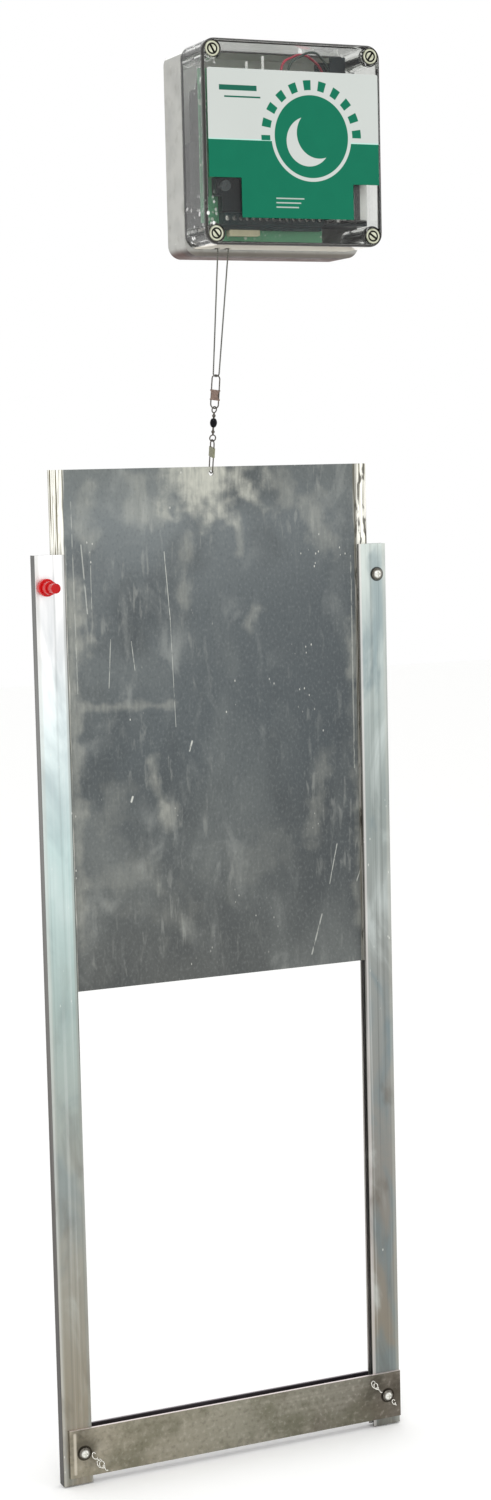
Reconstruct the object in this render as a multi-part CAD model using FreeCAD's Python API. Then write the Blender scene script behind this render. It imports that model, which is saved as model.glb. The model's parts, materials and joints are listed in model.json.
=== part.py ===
"""Automatic coop door: a sliding door plate in two aluminium channels, lifted by a
doubled cord from a small battery-driven winder box on the same wall.

Millimetres. +X is right seen from the front, +Y points into the wall, +Z is up.
x = 0 is the middle of the door, y = 0 is the wall plane and z = 0 is the bottom of
the rails. The door is modelled fully raised.
"""
import FreeCAD, Part
import math
import os
from FreeCAD import Vector, Rotation, Placement

os.makedirs("parts", exist_ok=True)

# ---------------------------------------------------------------- driving dimensions
RAIL_LENGTH = 600.0
RAIL_FACE = 20.0
RAIL_DEPTH = 8.0
RAIL_WALL = 1.3
RAIL_EDGE_ROUND = 0.35
RAILS_WIDTH = 244.0          # outside to outside

DOOR_WIDTH = 220.0
DOOR_HEIGHT = 330.0
DOOR_THICK = 2.0
DOOR_BOTTOM = 322.5          # lower edge, door raised
DOOR_Y = -4.0                # middle of the plate, in the middle of the channel
HOLE_RADIUS = 1.8
HOLE_DROP = 4.0              # lifting hole below the plate's top edge

BAR_HEIGHT = 32.0
BAR_BOTTOM = 5.0
BAR_THICK = 1.6
BAR_LENGTH = 240.0
BAR_SHIFT = 2.0              # the bar sits a little to the right of the middle
BAR_SCREW_SPACING = 220.0
BAR_SIDE_GAP = 0.5           # between the sill's inner legs and the rails

TOP_SCREW_DROP = 20.0        # fixing screws below the rail tops
TOP_SCREW_INSET = 6.6        # from each rail's outer side
SCREW_RADIUS = 2.0           # plain shank, which fits the hole
THREAD_RADIUS = 1.6          # part of the screw that is in the wall
SCREW_HEAD_RADIUS = 3.8
SCREW_HEAD_HEIGHT = 2.4
SCREW_BITE = 14.0            # length that goes into the wall
SCREW_POINT = 3.5            # of which the tapered point

BOX_WIDTH = 120.0
BOX_HEIGHT = 123.0
BOX_DEPTH = 63.0
BOX_CENTRE_X = 36.0
BOX_BOTTOM = 786.5           # lower side of the lid
BOX_CORNER = 8.5
BASE_DEPTH = 28.0
BASE_LIP = 4.0               # the base hangs this far below the lid
BASE_WALL = 2.5
BASE_BACK = 3.0
GASKET_THICK = 0.8
LID_WALL = 2.2
LID_FRONT = 2.5
LID_EDGE_ROUND = 2.2
TOWER_INSET = 6.7            # lid screw axis from the box sides
TOWER_RADIUS = 6.2
LID_SCREW_HEAD = 5.0         # radius of the head
LID_SCREW_WELL = 5.2         # radius of the well it sits in
LID_SCREW_SEAT = 6.0         # depth of the well
LID_SCREW_BORE = 2.6         # radius of the hole for its shank
LID_SLOT_WIDTH = 2.8         # slots for the cord in the lid's lower wall
WALL_HOLE_RADIUS = 2.2
WALL_HOLE_SPACING_X = 68.0
WALL_HOLE_SPACING_Z = 104.0

CORD_RADIUS = 0.45
CORD_Y = -38.0               # plane in which the cord leaves the box
STRAND_LEFT_X = -6.1
STRAND_RIGHT_X = 1.0
DRUM_RADIUS = 4.6
DRUM_FLANGE_RADIUS = 8.6
SHAFT_RADIUS = 2.5
RUNNING_GAP = 0.05

BOARD_BACK_Y = -43.0
BOARD_THICK = 1.6

# ---------------------------------------------------------------- worked-out places
RAIL_OUT = RAILS_WIDTH / 2
RAIL_IN = RAIL_OUT - RAIL_FACE
DOOR_TOP = DOOR_BOTTOM + DOOR_HEIGHT
HOLE = Vector(0, DOOR_Y, DOOR_TOP - HOLE_DROP)
TOP_SCREW_X = RAIL_OUT - TOP_SCREW_INSET
TOP_SCREW_Z = RAIL_LENGTH - TOP_SCREW_DROP
BAR_SCREW_Z = BAR_BOTTOM + BAR_HEIGHT / 2
BAR_SCREW_XS = [BAR_SHIFT - BAR_SCREW_SPACING / 2, BAR_SHIFT + BAR_SCREW_SPACING / 2]

BOX_LEFT = BOX_CENTRE_X - BOX_WIDTH / 2
BOX_RIGHT = BOX_CENTRE_X + BOX_WIDTH / 2
BOX_TOP = BOX_BOTTOM + BOX_HEIGHT
BOX_CENTRE_Z = BOX_BOTTOM + BOX_HEIGHT / 2
SEAM_Y = -BASE_DEPTH
LID_BACK_Y = SEAM_Y - GASKET_THICK
LID_FACE_Y = -BOX_DEPTH
BOARD_FRONT_Y = BOARD_BACK_Y - BOARD_THICK
TOWERS = [(x, z) for x in (BOX_LEFT + TOWER_INSET, BOX_RIGHT - TOWER_INSET)
          for z in (BOX_BOTTOM + TOWER_INSET, BOX_TOP - TOWER_INSET)]
WALL_HOLES = [(BOX_CENTRE_X + i * WALL_HOLE_SPACING_X / 2,
               BOX_CENTRE_Z + k * WALL_HOLE_SPACING_Z / 2) for i in (-1, 1) for k in (-1, 1)]
BOARD_LEFT, BOARD_RIGHT = BOX_LEFT + 6, BOX_LEFT + 86
BOARD_BOTTOM, BOARD_TOP = BOX_BOTTOM + 3.4, BOX_TOP - 15.5
BOARD_SCREWS = [(BOX_LEFT + x, BOX_BOTTOM + z) for x in (46, 81) for z in (27.5, 90.5)]

WINDING_RADIUS = DRUM_RADIUS + 0.6
DRUM_X = STRAND_LEFT_X + WINDING_RADIUS + CORD_RADIUS + 0.3
DRUM_Z = BOX_BOTTOM + 35.3
DRUM_WIDTH = 8.8
DRUM_BACK_Y = CORD_Y + DRUM_WIDTH / 2
DRUM_FRONT_Y = CORD_Y - DRUM_WIDTH / 2

EXIT_LEFT = Vector(STRAND_LEFT_X, CORD_Y, BOX_BOTTOM)
EXIT_RIGHT = Vector(STRAND_RIGHT_X, CORD_Y, BOX_BOTTOM)
EXIT_MIDDLE = (EXIT_LEFT + EXIT_RIGHT) * 0.5
LIFT_LINE = (EXIT_MIDDLE - HOLE).normalize()     # the pull from the door up to the box


# ---------------------------------------------------------------- small helpers
def block(x0, x1, y0, y1, z0, z1):
    """A box between two corners."""
    low = Vector(min(x0, x1), min(y0, y1), min(z0, z1))
    return Part.makeBox(abs(x1 - x0), abs(y1 - y0), abs(z1 - z0), low)


def rod(x, z, y_start, y_end, radius):
    """A cylinder along Y at (x, z)."""
    length = y_end - y_start
    direction = Vector(0, 1 if length > 0 else -1, 0)
    return Part.makeCylinder(radius, abs(length), Vector(x, y_start, z), direction)


def fuse(shapes):
    """One shape from several that touch or overlap."""
    result = shapes[0]
    if len(shapes) > 1:
        result = shapes[0].multiFuse(shapes[1:])
    return result.removeSplitter()


def rounded_slab(x0, x1, z0, z1, y0, y1, radius):
    """A slab along Y with its four long edges rounded."""
    slab = block(x0, x1, y0, y1, z0, z1)
    edges = [e for e in slab.Edges if abs(e.tangentAt(e.FirstParameter).y) > 0.99]
    return slab.makeFillet(radius, edges)


def edges_at_y(shape, y):
    """The edges of a shape that lie wholly in one plane across Y."""
    return [e for e in shape.Edges
            if abs(e.BoundBox.YMin - y) < 1e-4 and abs(e.BoundBox.YMax - y) < 1e-4]


def long_edges(shape, length):
    """The straight edges along Z that are as long as the part."""
    return [e for e in shape.Edges if abs(e.BoundBox.ZLength - length) < 1e-3 and e.Length < length + 1e-3]


def turned(points, centre_x, centre_z):
    """A solid of revolution about an axis along Y, from (radius, y) points."""
    outline = [Vector(centre_x + r, y, centre_z) for r, y in points]
    face = Part.Face(Part.makePolygon(outline + outline[:1]))
    return face.revolve(Vector(centre_x, 0, centre_z), Vector(0, 1, 0), 360)


def swept(path_edges, radius):
    """A round rod along a tangent path."""
    path = Part.Wire(path_edges)
    first = path_edges[0]
    start = first.valueAt(first.FirstParameter)
    heading = first.tangentAt(first.FirstParameter)
    section = Part.Wire([Part.makeCircle(radius, start, heading)])
    solid = path.makePipeShell([section], True, True)
    return solid if isinstance(solid, Part.Solid) else Part.Solid(solid)


def wire_route(points, radius, bend=0.45):
    """A wire through points, its corners rounded by arcs tangent to both runs."""
    edges = []
    start = points[0]
    for before, corner, after in zip(points, points[1:], points[2:]):
        inward = (before - corner).normalize()
        outward = (after - corner).normalize()
        cut = bend * min((before - corner).Length, (after - corner).Length)
        first, last = corner + inward * cut, corner + outward * cut
        half = inward.getAngle(outward) / 2
        reach = cut / math.cos(half)
        arc_radius = cut * math.tan(half)
        middle = corner + (inward + outward).normalize() * (reach - arc_radius)
        edges.append(Part.LineSegment(start, first).toShape())
        edges.append(Part.Arc(first, middle, last).toShape())
        start = last
    edges.append(Part.LineSegment(start, points[-1]).toShape())
    return swept(edges, radius)


def oval_loop(low, high, half_width, wire, angle):
    """A closed wire loop round the local Z axis, its plane turned by an angle about Z."""
    side = Vector(math.cos(math.radians(angle)), math.sin(math.radians(angle)), 0)
    up = Vector(0, 0, 1)
    foot, head = up * (low + half_width), up * (high - half_width)
    corners = [foot - side * half_width, foot + side * half_width,
               head + side * half_width, head - side * half_width]
    edges = [Part.LineSegment(corners[3], corners[0]).toShape(),
             Part.Arc(corners[0], up * low, corners[1]).toShape(),
             Part.LineSegment(corners[1], corners[2]).toShape(),
             Part.Arc(corners[2], up * high, corners[3]).toShape()]
    return swept(edges, wire)


def on_lift_line(shape):
    """Moves a fitting from its own axis to the lift line, which starts in the door's hole."""
    placed = shape.copy()
    placed.Placement = Placement(HOLE, Rotation(Vector(0, 0, 1), LIFT_LINE)).multiply(shape.Placement)
    return placed


# ---------------------------------------------------------------- rails, bar, screws
def rail(side):
    """A U channel with its mouth towards the door; side is -1 for left and 1 for right."""
    outer = block(side * RAIL_IN, side * RAIL_OUT, -RAIL_DEPTH, 0, 0, RAIL_LENGTH)
    slot = block(side * (RAIL_IN - 1), side * (RAIL_OUT - RAIL_WALL),
                 -RAIL_DEPTH + RAIL_WALL, -RAIL_WALL, -1, RAIL_LENGTH + 1)
    channel = outer.cut(slot)
    channel = channel.makeFillet(RAIL_EDGE_ROUND, long_edges(channel, RAIL_LENGTH))
    bar_screw_x = BAR_SCREW_XS[0] if side < 0 else BAR_SCREW_XS[1]
    for x, z in ((side * TOP_SCREW_X, TOP_SCREW_Z), (bar_screw_x, BAR_SCREW_Z)):
        channel = channel.cut(rod(x, z, 1, -RAIL_DEPTH - 1, SCREW_RADIUS))
    return channel


def bottom_bar():
    """A folded sill: the front leg covers the rail ends, the rest fits between the rails."""
    left = BAR_SHIFT - BAR_LENGTH / 2
    top = BAR_BOTTOM + BAR_HEIGHT
    inner = RAIL_IN - BAR_SIDE_GAP
    front_y = -RAIL_DEPTH - BAR_THICK
    front_leg = block(left, left + BAR_LENGTH, front_y, -RAIL_DEPTH, BAR_BOTTOM, top)
    front_leg = front_leg.makeFillet(0.3, edges_at_y(front_leg, front_y))
    web = block(-inner, inner, -RAIL_DEPTH - BAR_THICK / 2, 0, BAR_BOTTOM, BAR_BOTTOM + BAR_THICK)
    back_leg = block(-inner, inner, -BAR_THICK, 0, BAR_BOTTOM, top)
    bar = fuse([front_leg, web, back_leg])
    for x in BAR_SCREW_XS:
        bar = bar.cut(rod(x, BAR_SCREW_Z, 1, front_y - 1, SCREW_RADIUS))
    return bar


def wall_screw(x, z, seat_y):
    """A pan-head wood screw with a cross recess, its head on seat_y and its point in the wall."""
    head_top = seat_y - SCREW_HEAD_HEIGHT
    point = SCREW_BITE - SCREW_POINT
    rim = SCREW_HEAD_RADIUS
    outline = [(0, head_top), (rim * 0.45, head_top), (rim * 0.8, head_top + 0.6),
               (rim, head_top + 1.5), (rim, seat_y),
               (SCREW_RADIUS, seat_y), (SCREW_RADIUS, 0), (THREAD_RADIUS, 0), (THREAD_RADIUS, point),
               (0.3, SCREW_BITE), (0, SCREW_BITE)]
    screw = turned(outline, x, z)
    arm, slot_half, depth = 1.7, 0.4, 1.3
    for dx, dz in ((arm, slot_half), (slot_half, arm)):
        screw = screw.cut(block(x - dx, x + dx, head_top - 1, head_top + depth, z - dz, z + dz))
    return screw


CAP_LENGTH = 20.0
CAP_FLANGE_RADIUS, CAP_FLANGE_HEIGHT = 5.5, 4.2
CAP_BODY_RADIUS, CAP_BODY_TOP = 4.2, 11.2
CAP_NOSE_RADIUS = 3.1
CAP_BEVEL = 0.6


def red_screw_cap():
    """A plastic cap pushed over the left rail's upper screw, with a flange, a body and a nose."""
    steps = [(CAP_FLANGE_RADIUS, 0, CAP_FLANGE_HEIGHT), (CAP_BODY_RADIUS, CAP_FLANGE_HEIGHT, CAP_BODY_TOP),
             (CAP_NOSE_RADIUS, CAP_BODY_TOP, CAP_LENGTH)]
    seat = -RAIL_DEPTH
    outline = [(0, seat - SCREW_HEAD_HEIGHT), (SCREW_HEAD_RADIUS, seat - SCREW_HEAD_HEIGHT),
               (SCREW_HEAD_RADIUS, seat)]
    for radius, low, high in steps:
        outline += [(radius, seat - low), (radius, seat - high + CAP_BEVEL),
                    (radius - CAP_BEVEL, seat - high)]
    outline.append((0, seat - CAP_LENGTH))
    return turned(outline, -TOP_SCREW_X, TOP_SCREW_Z)


def door_plate():
    """The flat sliding plate with its lifting hole."""
    plate = block(-DOOR_WIDTH / 2, DOOR_WIDTH / 2, DOOR_Y - DOOR_THICK / 2, DOOR_Y + DOOR_THICK / 2,
                  DOOR_BOTTOM, DOOR_TOP)
    plate = plate.makeFillet(0.25, edges_at_y(plate, DOOR_Y - DOOR_THICK / 2))
    return plate.cut(rod(HOLE.x, HOLE.z, 1, -RAIL_DEPTH - 1, HOLE_RADIUS))


# ---------------------------------------------------------------- snaps and swivel
# Heights along the lift line, measured up from the door's hole.
LOWER_SNAP_TOP = 21.5
LOWER_RING_MIDDLE = 22.6
LOWER_RING_RADIUS = 2.0
BARREL_BOTTOM, BARREL_TOP = 29.7, 35.2
BARREL_RADIUS = 2.3
UPPER_RING_MIDDLE = 40.9
UPPER_RING_RADIUS = 1.9
UPPER_SNAP_BOTTOM = 41.75
UPPER_SNAP_TOP = 63.0
SNAP_WIRE = 0.42
RING_WIRE = 0.4
EYE_SHANK = 0.6
LOWER_SNAP_HALF = 2.8
UPPER_SNAP_HALF = 2.6
LOWER_SNAP_ANGLE = 90.0      # across the plate, so that the wire passes through the hole
UPPER_SNAP_ANGLE = -45.0     # aslant, so that its wire clears the turn of the cord
CORD_TURN_RADIUS = 2.0


def snap_sleeve(low, high, half_width, angle, waist):
    """A folded sheet-metal sleeve round both legs of a snap, narrower at its middle."""
    reach = half_width + SNAP_WIRE + 0.35
    thick = SNAP_WIRE + 0.3
    sleeve = block(-reach, reach, -thick, thick, low, high)
    sleeve = sleeve.makeFillet(thick * 0.6, [e for e in sleeve.Edges if e.BoundBox.ZLength > 1])
    hollow = (high - low) * 0.62
    for side in (-1, 1):
        notch_x = side * (reach - waist + hollow)
        notch = Part.makeCylinder(hollow, 4, Vector(notch_x, -2, (low + high) / 2), Vector(0, 1, 0))
        leg = Part.makeCylinder(SNAP_WIRE, high - low + 2, Vector(side * half_width, 0, low - 1))
        sleeve = sleeve.cut(notch).cut(leg)
    sleeve.rotate(Vector(0, 0, 0), Vector(0, 0, 1), angle)
    return on_lift_line(sleeve)


def swivel_eye(ring_middle, ring_radius, direction, ring_angle):
    """A ring with a wrapped neck and a headed shank that turns in the barrel."""
    ring = Part.makeTorus(ring_radius, RING_WIRE, Vector(0, 0, ring_middle), Vector(1, 0, 0))
    ring.rotate(Vector(0, 0, 0), Vector(0, 0, 1), ring_angle)
    edge = ring_middle + direction * (ring_radius + RING_WIRE * 0.4)
    wall_low, wall_high = BARREL_BOTTOM + 0.9, BARREL_TOP - 0.9
    inside = wall_low + 0.1 if direction > 0 else wall_high - 0.1
    up = Vector(0, 0, direction)
    shank = Part.makeCylinder(EYE_SHANK, abs(inside + direction * 0.7 - edge), Vector(0, 0, edge), up)
    collar = Part.makeSphere(1.15, Vector(0, 0, edge + direction * 1.9))
    head = Part.makeCylinder(1.1, 0.7, Vector(0, 0, inside), up)
    return on_lift_line(fuse([ring, shank, collar, head]))


def swivel_barrel():
    """A hollow barrel that both eye shanks turn in."""
    middle = (BARREL_BOTTOM + BARREL_TOP) / 2
    half = (BARREL_TOP - BARREL_BOTTOM) / 2
    outline = [Vector(EYE_SHANK + RUNNING_GAP, 0, BARREL_BOTTOM), Vector(1.25, 0, BARREL_BOTTOM),
               Vector(BARREL_RADIUS, 0, middle), Vector(1.25, 0, BARREL_TOP),
               Vector(EYE_SHANK + RUNNING_GAP, 0, BARREL_TOP)]
    edges = [Part.LineSegment(outline[0], outline[1]).toShape(),
             Part.Arc(outline[1], outline[2], outline[3]).toShape(),
             Part.LineSegment(outline[3], outline[4]).toShape(),
             Part.LineSegment(outline[4], outline[0]).toShape()]
    body = Part.Face(Part.Wire(edges)).revolve(Vector(0, 0, 0), Vector(0, 0, 1), 360)
    chamber = Part.makeCylinder(1.4, 2 * half - 1.8, Vector(0, 0, BARREL_BOTTOM + 0.9))
    return on_lift_line(body.cut(chamber))


# ---------------------------------------------------------------- lift cord
def tangent_point(centre, radius, outside, away):
    """Where a line from an outside point touches a circle, on the side that points away."""
    to_outside = outside - centre
    distance = to_outside.Length
    along = to_outside * (1 / distance)
    across = (away - along * away.dot(along)).normalize()
    cosine = radius / distance
    return centre + along * (radius * cosine) + across * (radius * math.sqrt(1 - cosine ** 2))


def lift_cord():
    """The doubled cord: down from the box, round the upper snap's wire and up again."""
    turn_bottom = HOLE + LIFT_LINE * (UPPER_SNAP_TOP - SNAP_WIRE - CORD_RADIUS - 0.05)
    centre = turn_bottom + LIFT_LINE * CORD_TURN_RADIUS
    left = tangent_point(centre, CORD_TURN_RADIUS, EXIT_LEFT, Vector(-1, 0, 0))
    right = tangent_point(centre, CORD_TURN_RADIUS, EXIT_RIGHT, Vector(1, 0, 0))
    lowest = centre + (centre - EXIT_MIDDLE).normalize() * CORD_TURN_RADIUS
    return swept([Part.LineSegment(EXIT_LEFT, left).toShape(), Part.Arc(left, lowest, right).toShape(),
                  Part.LineSegment(right, EXIT_RIGHT).toShape()], CORD_RADIUS)


def cord_inside():
    """The two strands inside the box: one comes off the drum, one hangs from the anchor."""
    up = Vector(0, 0, 1)
    lift = 0.25
    left = Part.makeCylinder(CORD_RADIUS, DRUM_Z - BOX_BOTTOM - lift, EXIT_LEFT + up * lift, up)
    to_anchor = ANCHOR_Z - ANCHOR_RADIUS - BOX_BOTTOM - lift
    right = Part.makeCylinder(CORD_RADIUS, to_anchor, EXIT_RIGHT + up * lift, up)
    return Part.makeCompound([left, right])


def cord_windings():
    """The turns of cord on the drum, as one closed ring."""
    return turned([(DRUM_RADIUS, DRUM_BACK_Y - 1.2), (DRUM_RADIUS, DRUM_FRONT_Y + 1.2),
                   (WINDING_RADIUS, DRUM_FRONT_Y + 1.2), (WINDING_RADIUS, DRUM_BACK_Y - 1.2)],
                  DRUM_X, DRUM_Z)


# ---------------------------------------------------------------- winder drive
GEARBOX_BACK_Y = -6.0
GEARBOX_FRONT_Y = -30.0
GEARBOX_LEFT, GEARBOX_RIGHT = BOX_LEFT + 5, BOX_LEFT + 37
GEARBOX_BOTTOM, GEARBOX_TOP = BOX_BOTTOM + 24.3, BOX_BOTTOM + 65.3
BOSS_FRONT_Y = -33.0
ANCHOR_Z = BOX_BOTTOM + 14.3
ANCHOR_RADIUS = 1.5
BRACKET_THICK = 1.5
BRACKET_BOTTOM = BOX_BOTTOM + 13.9
BRACKET_EAR = 10.0           # sideways reach of the ear past the gearbox
BRACKET_SCREWS = [(BOX_LEFT + x, BOX_BOTTOM + z) for x, z in ((10, 17.8), (34, 17.8), (42, 60.3))]
MOTOR_RADIUS = 11.8
MOTOR_LENGTH = 33.0
MOTOR_TAB = 4.0              # height of the two solder tabs
MOTOR_TAB_OFFSET = 7.0


def cord_drum():
    """A spool with two flanges on the output shaft."""
    rim = DRUM_FLANGE_RADIUS
    outline = [(SHAFT_RADIUS, DRUM_BACK_Y), (rim, DRUM_BACK_Y), (rim, DRUM_BACK_Y - 1),
               (DRUM_RADIUS, DRUM_BACK_Y - 1.2), (DRUM_RADIUS, DRUM_FRONT_Y + 1.2),
               (rim, DRUM_FRONT_Y + 1), (rim, DRUM_FRONT_Y), (SHAFT_RADIUS, DRUM_FRONT_Y)]
    return turned(outline, DRUM_X, DRUM_Z)


def output_shaft():
    """The gearbox shaft that carries the drum."""
    return rod(DRUM_X, DRUM_Z, GEARBOX_BACK_Y - 6, DRUM_FRONT_Y, SHAFT_RADIUS)


def gearbox():
    """The gearbox housing with a bearing boss for the shaft."""
    body = rounded_slab(GEARBOX_LEFT, GEARBOX_RIGHT, GEARBOX_BOTTOM, GEARBOX_TOP,
                        GEARBOX_BACK_Y, GEARBOX_FRONT_Y, 2)
    boss = rod(DRUM_X, DRUM_Z, GEARBOX_FRONT_Y, BOSS_FRONT_Y, 6)
    bore = rod(DRUM_X, DRUM_Z, GEARBOX_BACK_Y - 5.5, BOSS_FRONT_Y - 1, SHAFT_RADIUS + RUNNING_GAP)
    return fuse([body, boss]).cut(bore)


def gear_motor():
    """A round motor that stands on the gearbox, with its end boss and two tabs."""
    y = (GEARBOX_BACK_Y + GEARBOX_FRONT_Y) / 2
    up = Vector(0, 0, 1)
    can = Part.makeCylinder(MOTOR_RADIUS, MOTOR_LENGTH, Vector(DRUM_X, y, GEARBOX_TOP), up)
    can = can.makeFillet(1.2, [can.Edges[0]])
    top = GEARBOX_TOP + MOTOR_LENGTH
    boss = Part.makeCylinder(4, 1.8, Vector(DRUM_X, y, top), up)
    tabs = [block(x - 1.2, x + 1.2, y - 0.3, y + 0.3, top - 1, top + MOTOR_TAB)
            for x in (DRUM_X - MOTOR_TAB_OFFSET, DRUM_X + MOTOR_TAB_OFFSET)]
    return fuse([can, boss] + tabs)


def motor_bracket():
    """The plate that holds the gearbox and the cord anchor to the base."""
    back, front = GEARBOX_BACK_Y + BRACKET_THICK, GEARBOX_BACK_Y
    plate = block(GEARBOX_LEFT, GEARBOX_RIGHT, back, front, BRACKET_BOTTOM, GEARBOX_TOP)
    ear = block(GEARBOX_RIGHT - 1, GEARBOX_RIGHT + BRACKET_EAR, back, front, GEARBOX_TOP - 12, GEARBOX_TOP)
    bracket = fuse([plate, ear])
    for x, z in BRACKET_SCREWS:
        bracket = bracket.cut(rod(x, z, 0, front - 1, 1.6))
    return bracket


def cord_anchor():
    """A post with a crossbar: the fixed end of the cord is tied round the bar."""
    post_x = STRAND_RIGHT_X + 5
    post = rod(post_x, ANCHOR_Z, GEARBOX_BACK_Y, CORD_Y - 2.5, ANCHOR_RADIUS)
    arm = Part.makeCylinder(ANCHOR_RADIUS, 8, Vector(post_x, CORD_Y, ANCHOR_Z), Vector(-1, 0, 0))
    return fuse([post, arm])


def machine_screws(places, head_y, length, radius, head_radius):
    """Pan-head machine screws along Y, one solid for each place."""
    screws = []
    for x, z in places:
        screw = turned([(0, head_y - 2), (head_radius * 0.7, head_y - 2), (head_radius, head_y - 1.2),
                        (head_radius, head_y), (radius, head_y), (radius, head_y + length),
                        (0, head_y + length)], x, z)
        screw = screw.cut(block(x - 1.4, x + 1.4, head_y - 3, head_y - 1.2, z - 0.3, z + 0.3))
        screw = screw.cut(block(x - 0.3, x + 0.3, head_y - 3, head_y - 1.2, z - 1.4, z + 1.4))
        screws.append(screw)
    return Part.makeCompound(screws)


# ---------------------------------------------------------------- winder box
CELL_RADIUS = 7.2
CELL_LENGTH = 50.2
CELL_PITCH = 14.5
HOLDER_WALL = 0.8
HOLDER_END = 1.5
HOLDER_LEFT, HOLDER_RIGHT = BOX_LEFT + 86.5, BOX_LEFT + 117.1
HOLDER_BOTTOM, HOLDER_TOP = BOX_BOTTOM + 14.3, BOX_BOTTOM + 70.3
HOLDER_BACK_Y = -24.0
HOLDER_DEPTH = 22.0          # the cells stand proud of the tray
CHANNEL_LEFT, CHANNEL_RIGHT = BOX_LEFT + 93.0, BOX_LEFT + 103.8
CHANNEL_TOP = BOX_TOP - 5.5


LID_SCREW_TURNS = (50, 60, 35, 125)
LABEL_INSET = 2.4
LABEL_THICK = 0.3
LABEL_TOP_DROP, LABEL_BOTTOM_DROP = 17.9, 106.7
LEFT_WINDOW_WIDTH, LEFT_WINDOW_HEIGHT = 21.4, 23.8
RIGHT_WINDOW_WIDTH, RIGHT_WINDOW_HEIGHT = 18.0, 21.5


def box_outline(y0, y1, inset, lip=0.0):
    """The box's rounded rectangle as a slab along Y, drawn in by an inset and let down by a lip."""
    return rounded_slab(BOX_LEFT + inset, BOX_RIGHT - inset, BOX_BOTTOM + inset - lip, BOX_TOP - inset,
                        y0, y1, BOX_CORNER - inset)


def box_base():
    """The opaque back half: a tray with a thick lower lip, screw towers, bosses, ribs and wall holes."""
    shell = box_outline(0, SEAM_Y, 0, BASE_LIP).cut(box_outline(-BASE_BACK, SEAM_Y - 1, BASE_WALL))
    inside = box_outline(-1, SEAM_Y, 0.5)
    towers = [rod(x, z, -BASE_BACK / 2, SEAM_Y, TOWER_RADIUS).common(inside) for x, z in TOWERS]
    bosses = [rod(x, z, -BASE_BACK / 2, GEARBOX_BACK_Y + BRACKET_THICK, 3) for x, z in BRACKET_SCREWS]
    ribs = [block(x - 1, x + 1, -BASE_BACK / 2, HOLDER_BACK_Y, HOLDER_BOTTOM + 4, HOLDER_TOP - 4)
            for x in (HOLDER_LEFT + 5, HOLDER_RIGHT - 5)]
    base = fuse([shell] + towers + bosses + ribs)
    base = base.makeFillet(1.0, edges_at_y(base, 0))
    for x, z in TOWERS:
        base = base.cut(rod(x, z, SEAM_Y + 16, SEAM_Y - 1, LID_SCREW_BORE))
    for x, z in WALL_HOLES:
        base = base.cut(rod(x, z, 1, -BASE_BACK - 1, WALL_HOLE_RADIUS))
    for x, z in BRACKET_SCREWS:
        base = base.cut(rod(x, z, -1.2, GEARBOX_BACK_Y + BRACKET_THICK - 1, 1.25))
    return base


def box_gasket():
    """The seal between the rims of the two halves, a little narrower than they are."""
    return box_outline(SEAM_Y, LID_BACK_Y, 0.6).cut(box_outline(SEAM_Y + 1, LID_BACK_Y - 1, LID_WALL + 0.6))


def lid_slot(x):
    """The open slot in the lid's lower wall for one strand of the cord."""
    half = LID_SLOT_WIDTH / 2
    low, high = BOX_BOTTOM - 1, BOX_BOTTOM + LID_WALL + 1
    straight = block(x - half, x + half, LID_BACK_Y + 1, CORD_Y, low, high)
    round_end = Part.makeCylinder(half, high - low, Vector(x, CORD_Y, low))
    return straight.fuse(round_end)


def box_lid():
    """The clear front half: a deep cover with four screw towers and two cord slots."""
    outer = box_outline(LID_BACK_Y, LID_FACE_Y, 0)
    outer = outer.makeFillet(LID_EDGE_ROUND, edges_at_y(outer, LID_FACE_Y))
    shell = outer.cut(box_outline(LID_BACK_Y + 1, LID_FACE_Y + LID_FRONT, LID_WALL))
    tower_front_y = LID_FACE_Y + LID_FRONT / 2
    inside = box_outline(LID_BACK_Y, tower_front_y, 0.5)
    towers = [rod(x, z, LID_BACK_Y, tower_front_y, TOWER_RADIUS).common(inside) for x, z in TOWERS]
    lid = fuse([shell] + towers)
    for x, z in TOWERS:
        lid = lid.cut(rod(x, z, LID_FACE_Y + LID_SCREW_SEAT, LID_FACE_Y - 1, LID_SCREW_WELL))
        lid = lid.cut(rod(x, z, LID_BACK_Y + 1, LID_FACE_Y - 1, LID_SCREW_BORE))
    for x in (STRAND_LEFT_X, STRAND_RIGHT_X):
        lid = lid.cut(lid_slot(x))
    return lid


def lid_screw(x, z, turn):
    """A plastic screw: a round head with a deep ring in its face, its centre split by a slot."""
    head, seat = LID_SCREW_HEAD, LID_FACE_Y + LID_SCREW_SEAT
    head_top = LID_FACE_Y + 0.6
    shank, tip = 2.2, SEAM_Y + 14
    screw = turned([(0, head_top), (head - 0.6, head_top), (head, head_top + 0.7), (head, seat),
                    (shank, seat), (shank, tip - 2), (shank - 1, tip), (0, tip)], x, z)
    ring = rod(x, z, head_top - 1, head_top + 1.9, 3.5).cut(rod(x, z, head_top - 1, head_top + 1.9, 2.4))
    slot = block(x - 3.0, x + 3.0, head_top - 1, head_top + 1.5, z - 0.7, z + 0.7)
    slot.rotate(Vector(x, 0, z), Vector(0, 1, 0), turn)
    return screw.cut(ring).cut(slot)


def lid_screws():
    """The four lid screws, each turned as it was left."""
    return Part.makeCompound([lid_screw(x, z, turn) for (x, z), turn in zip(TOWERS, LID_SCREW_TURNS)])


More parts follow.
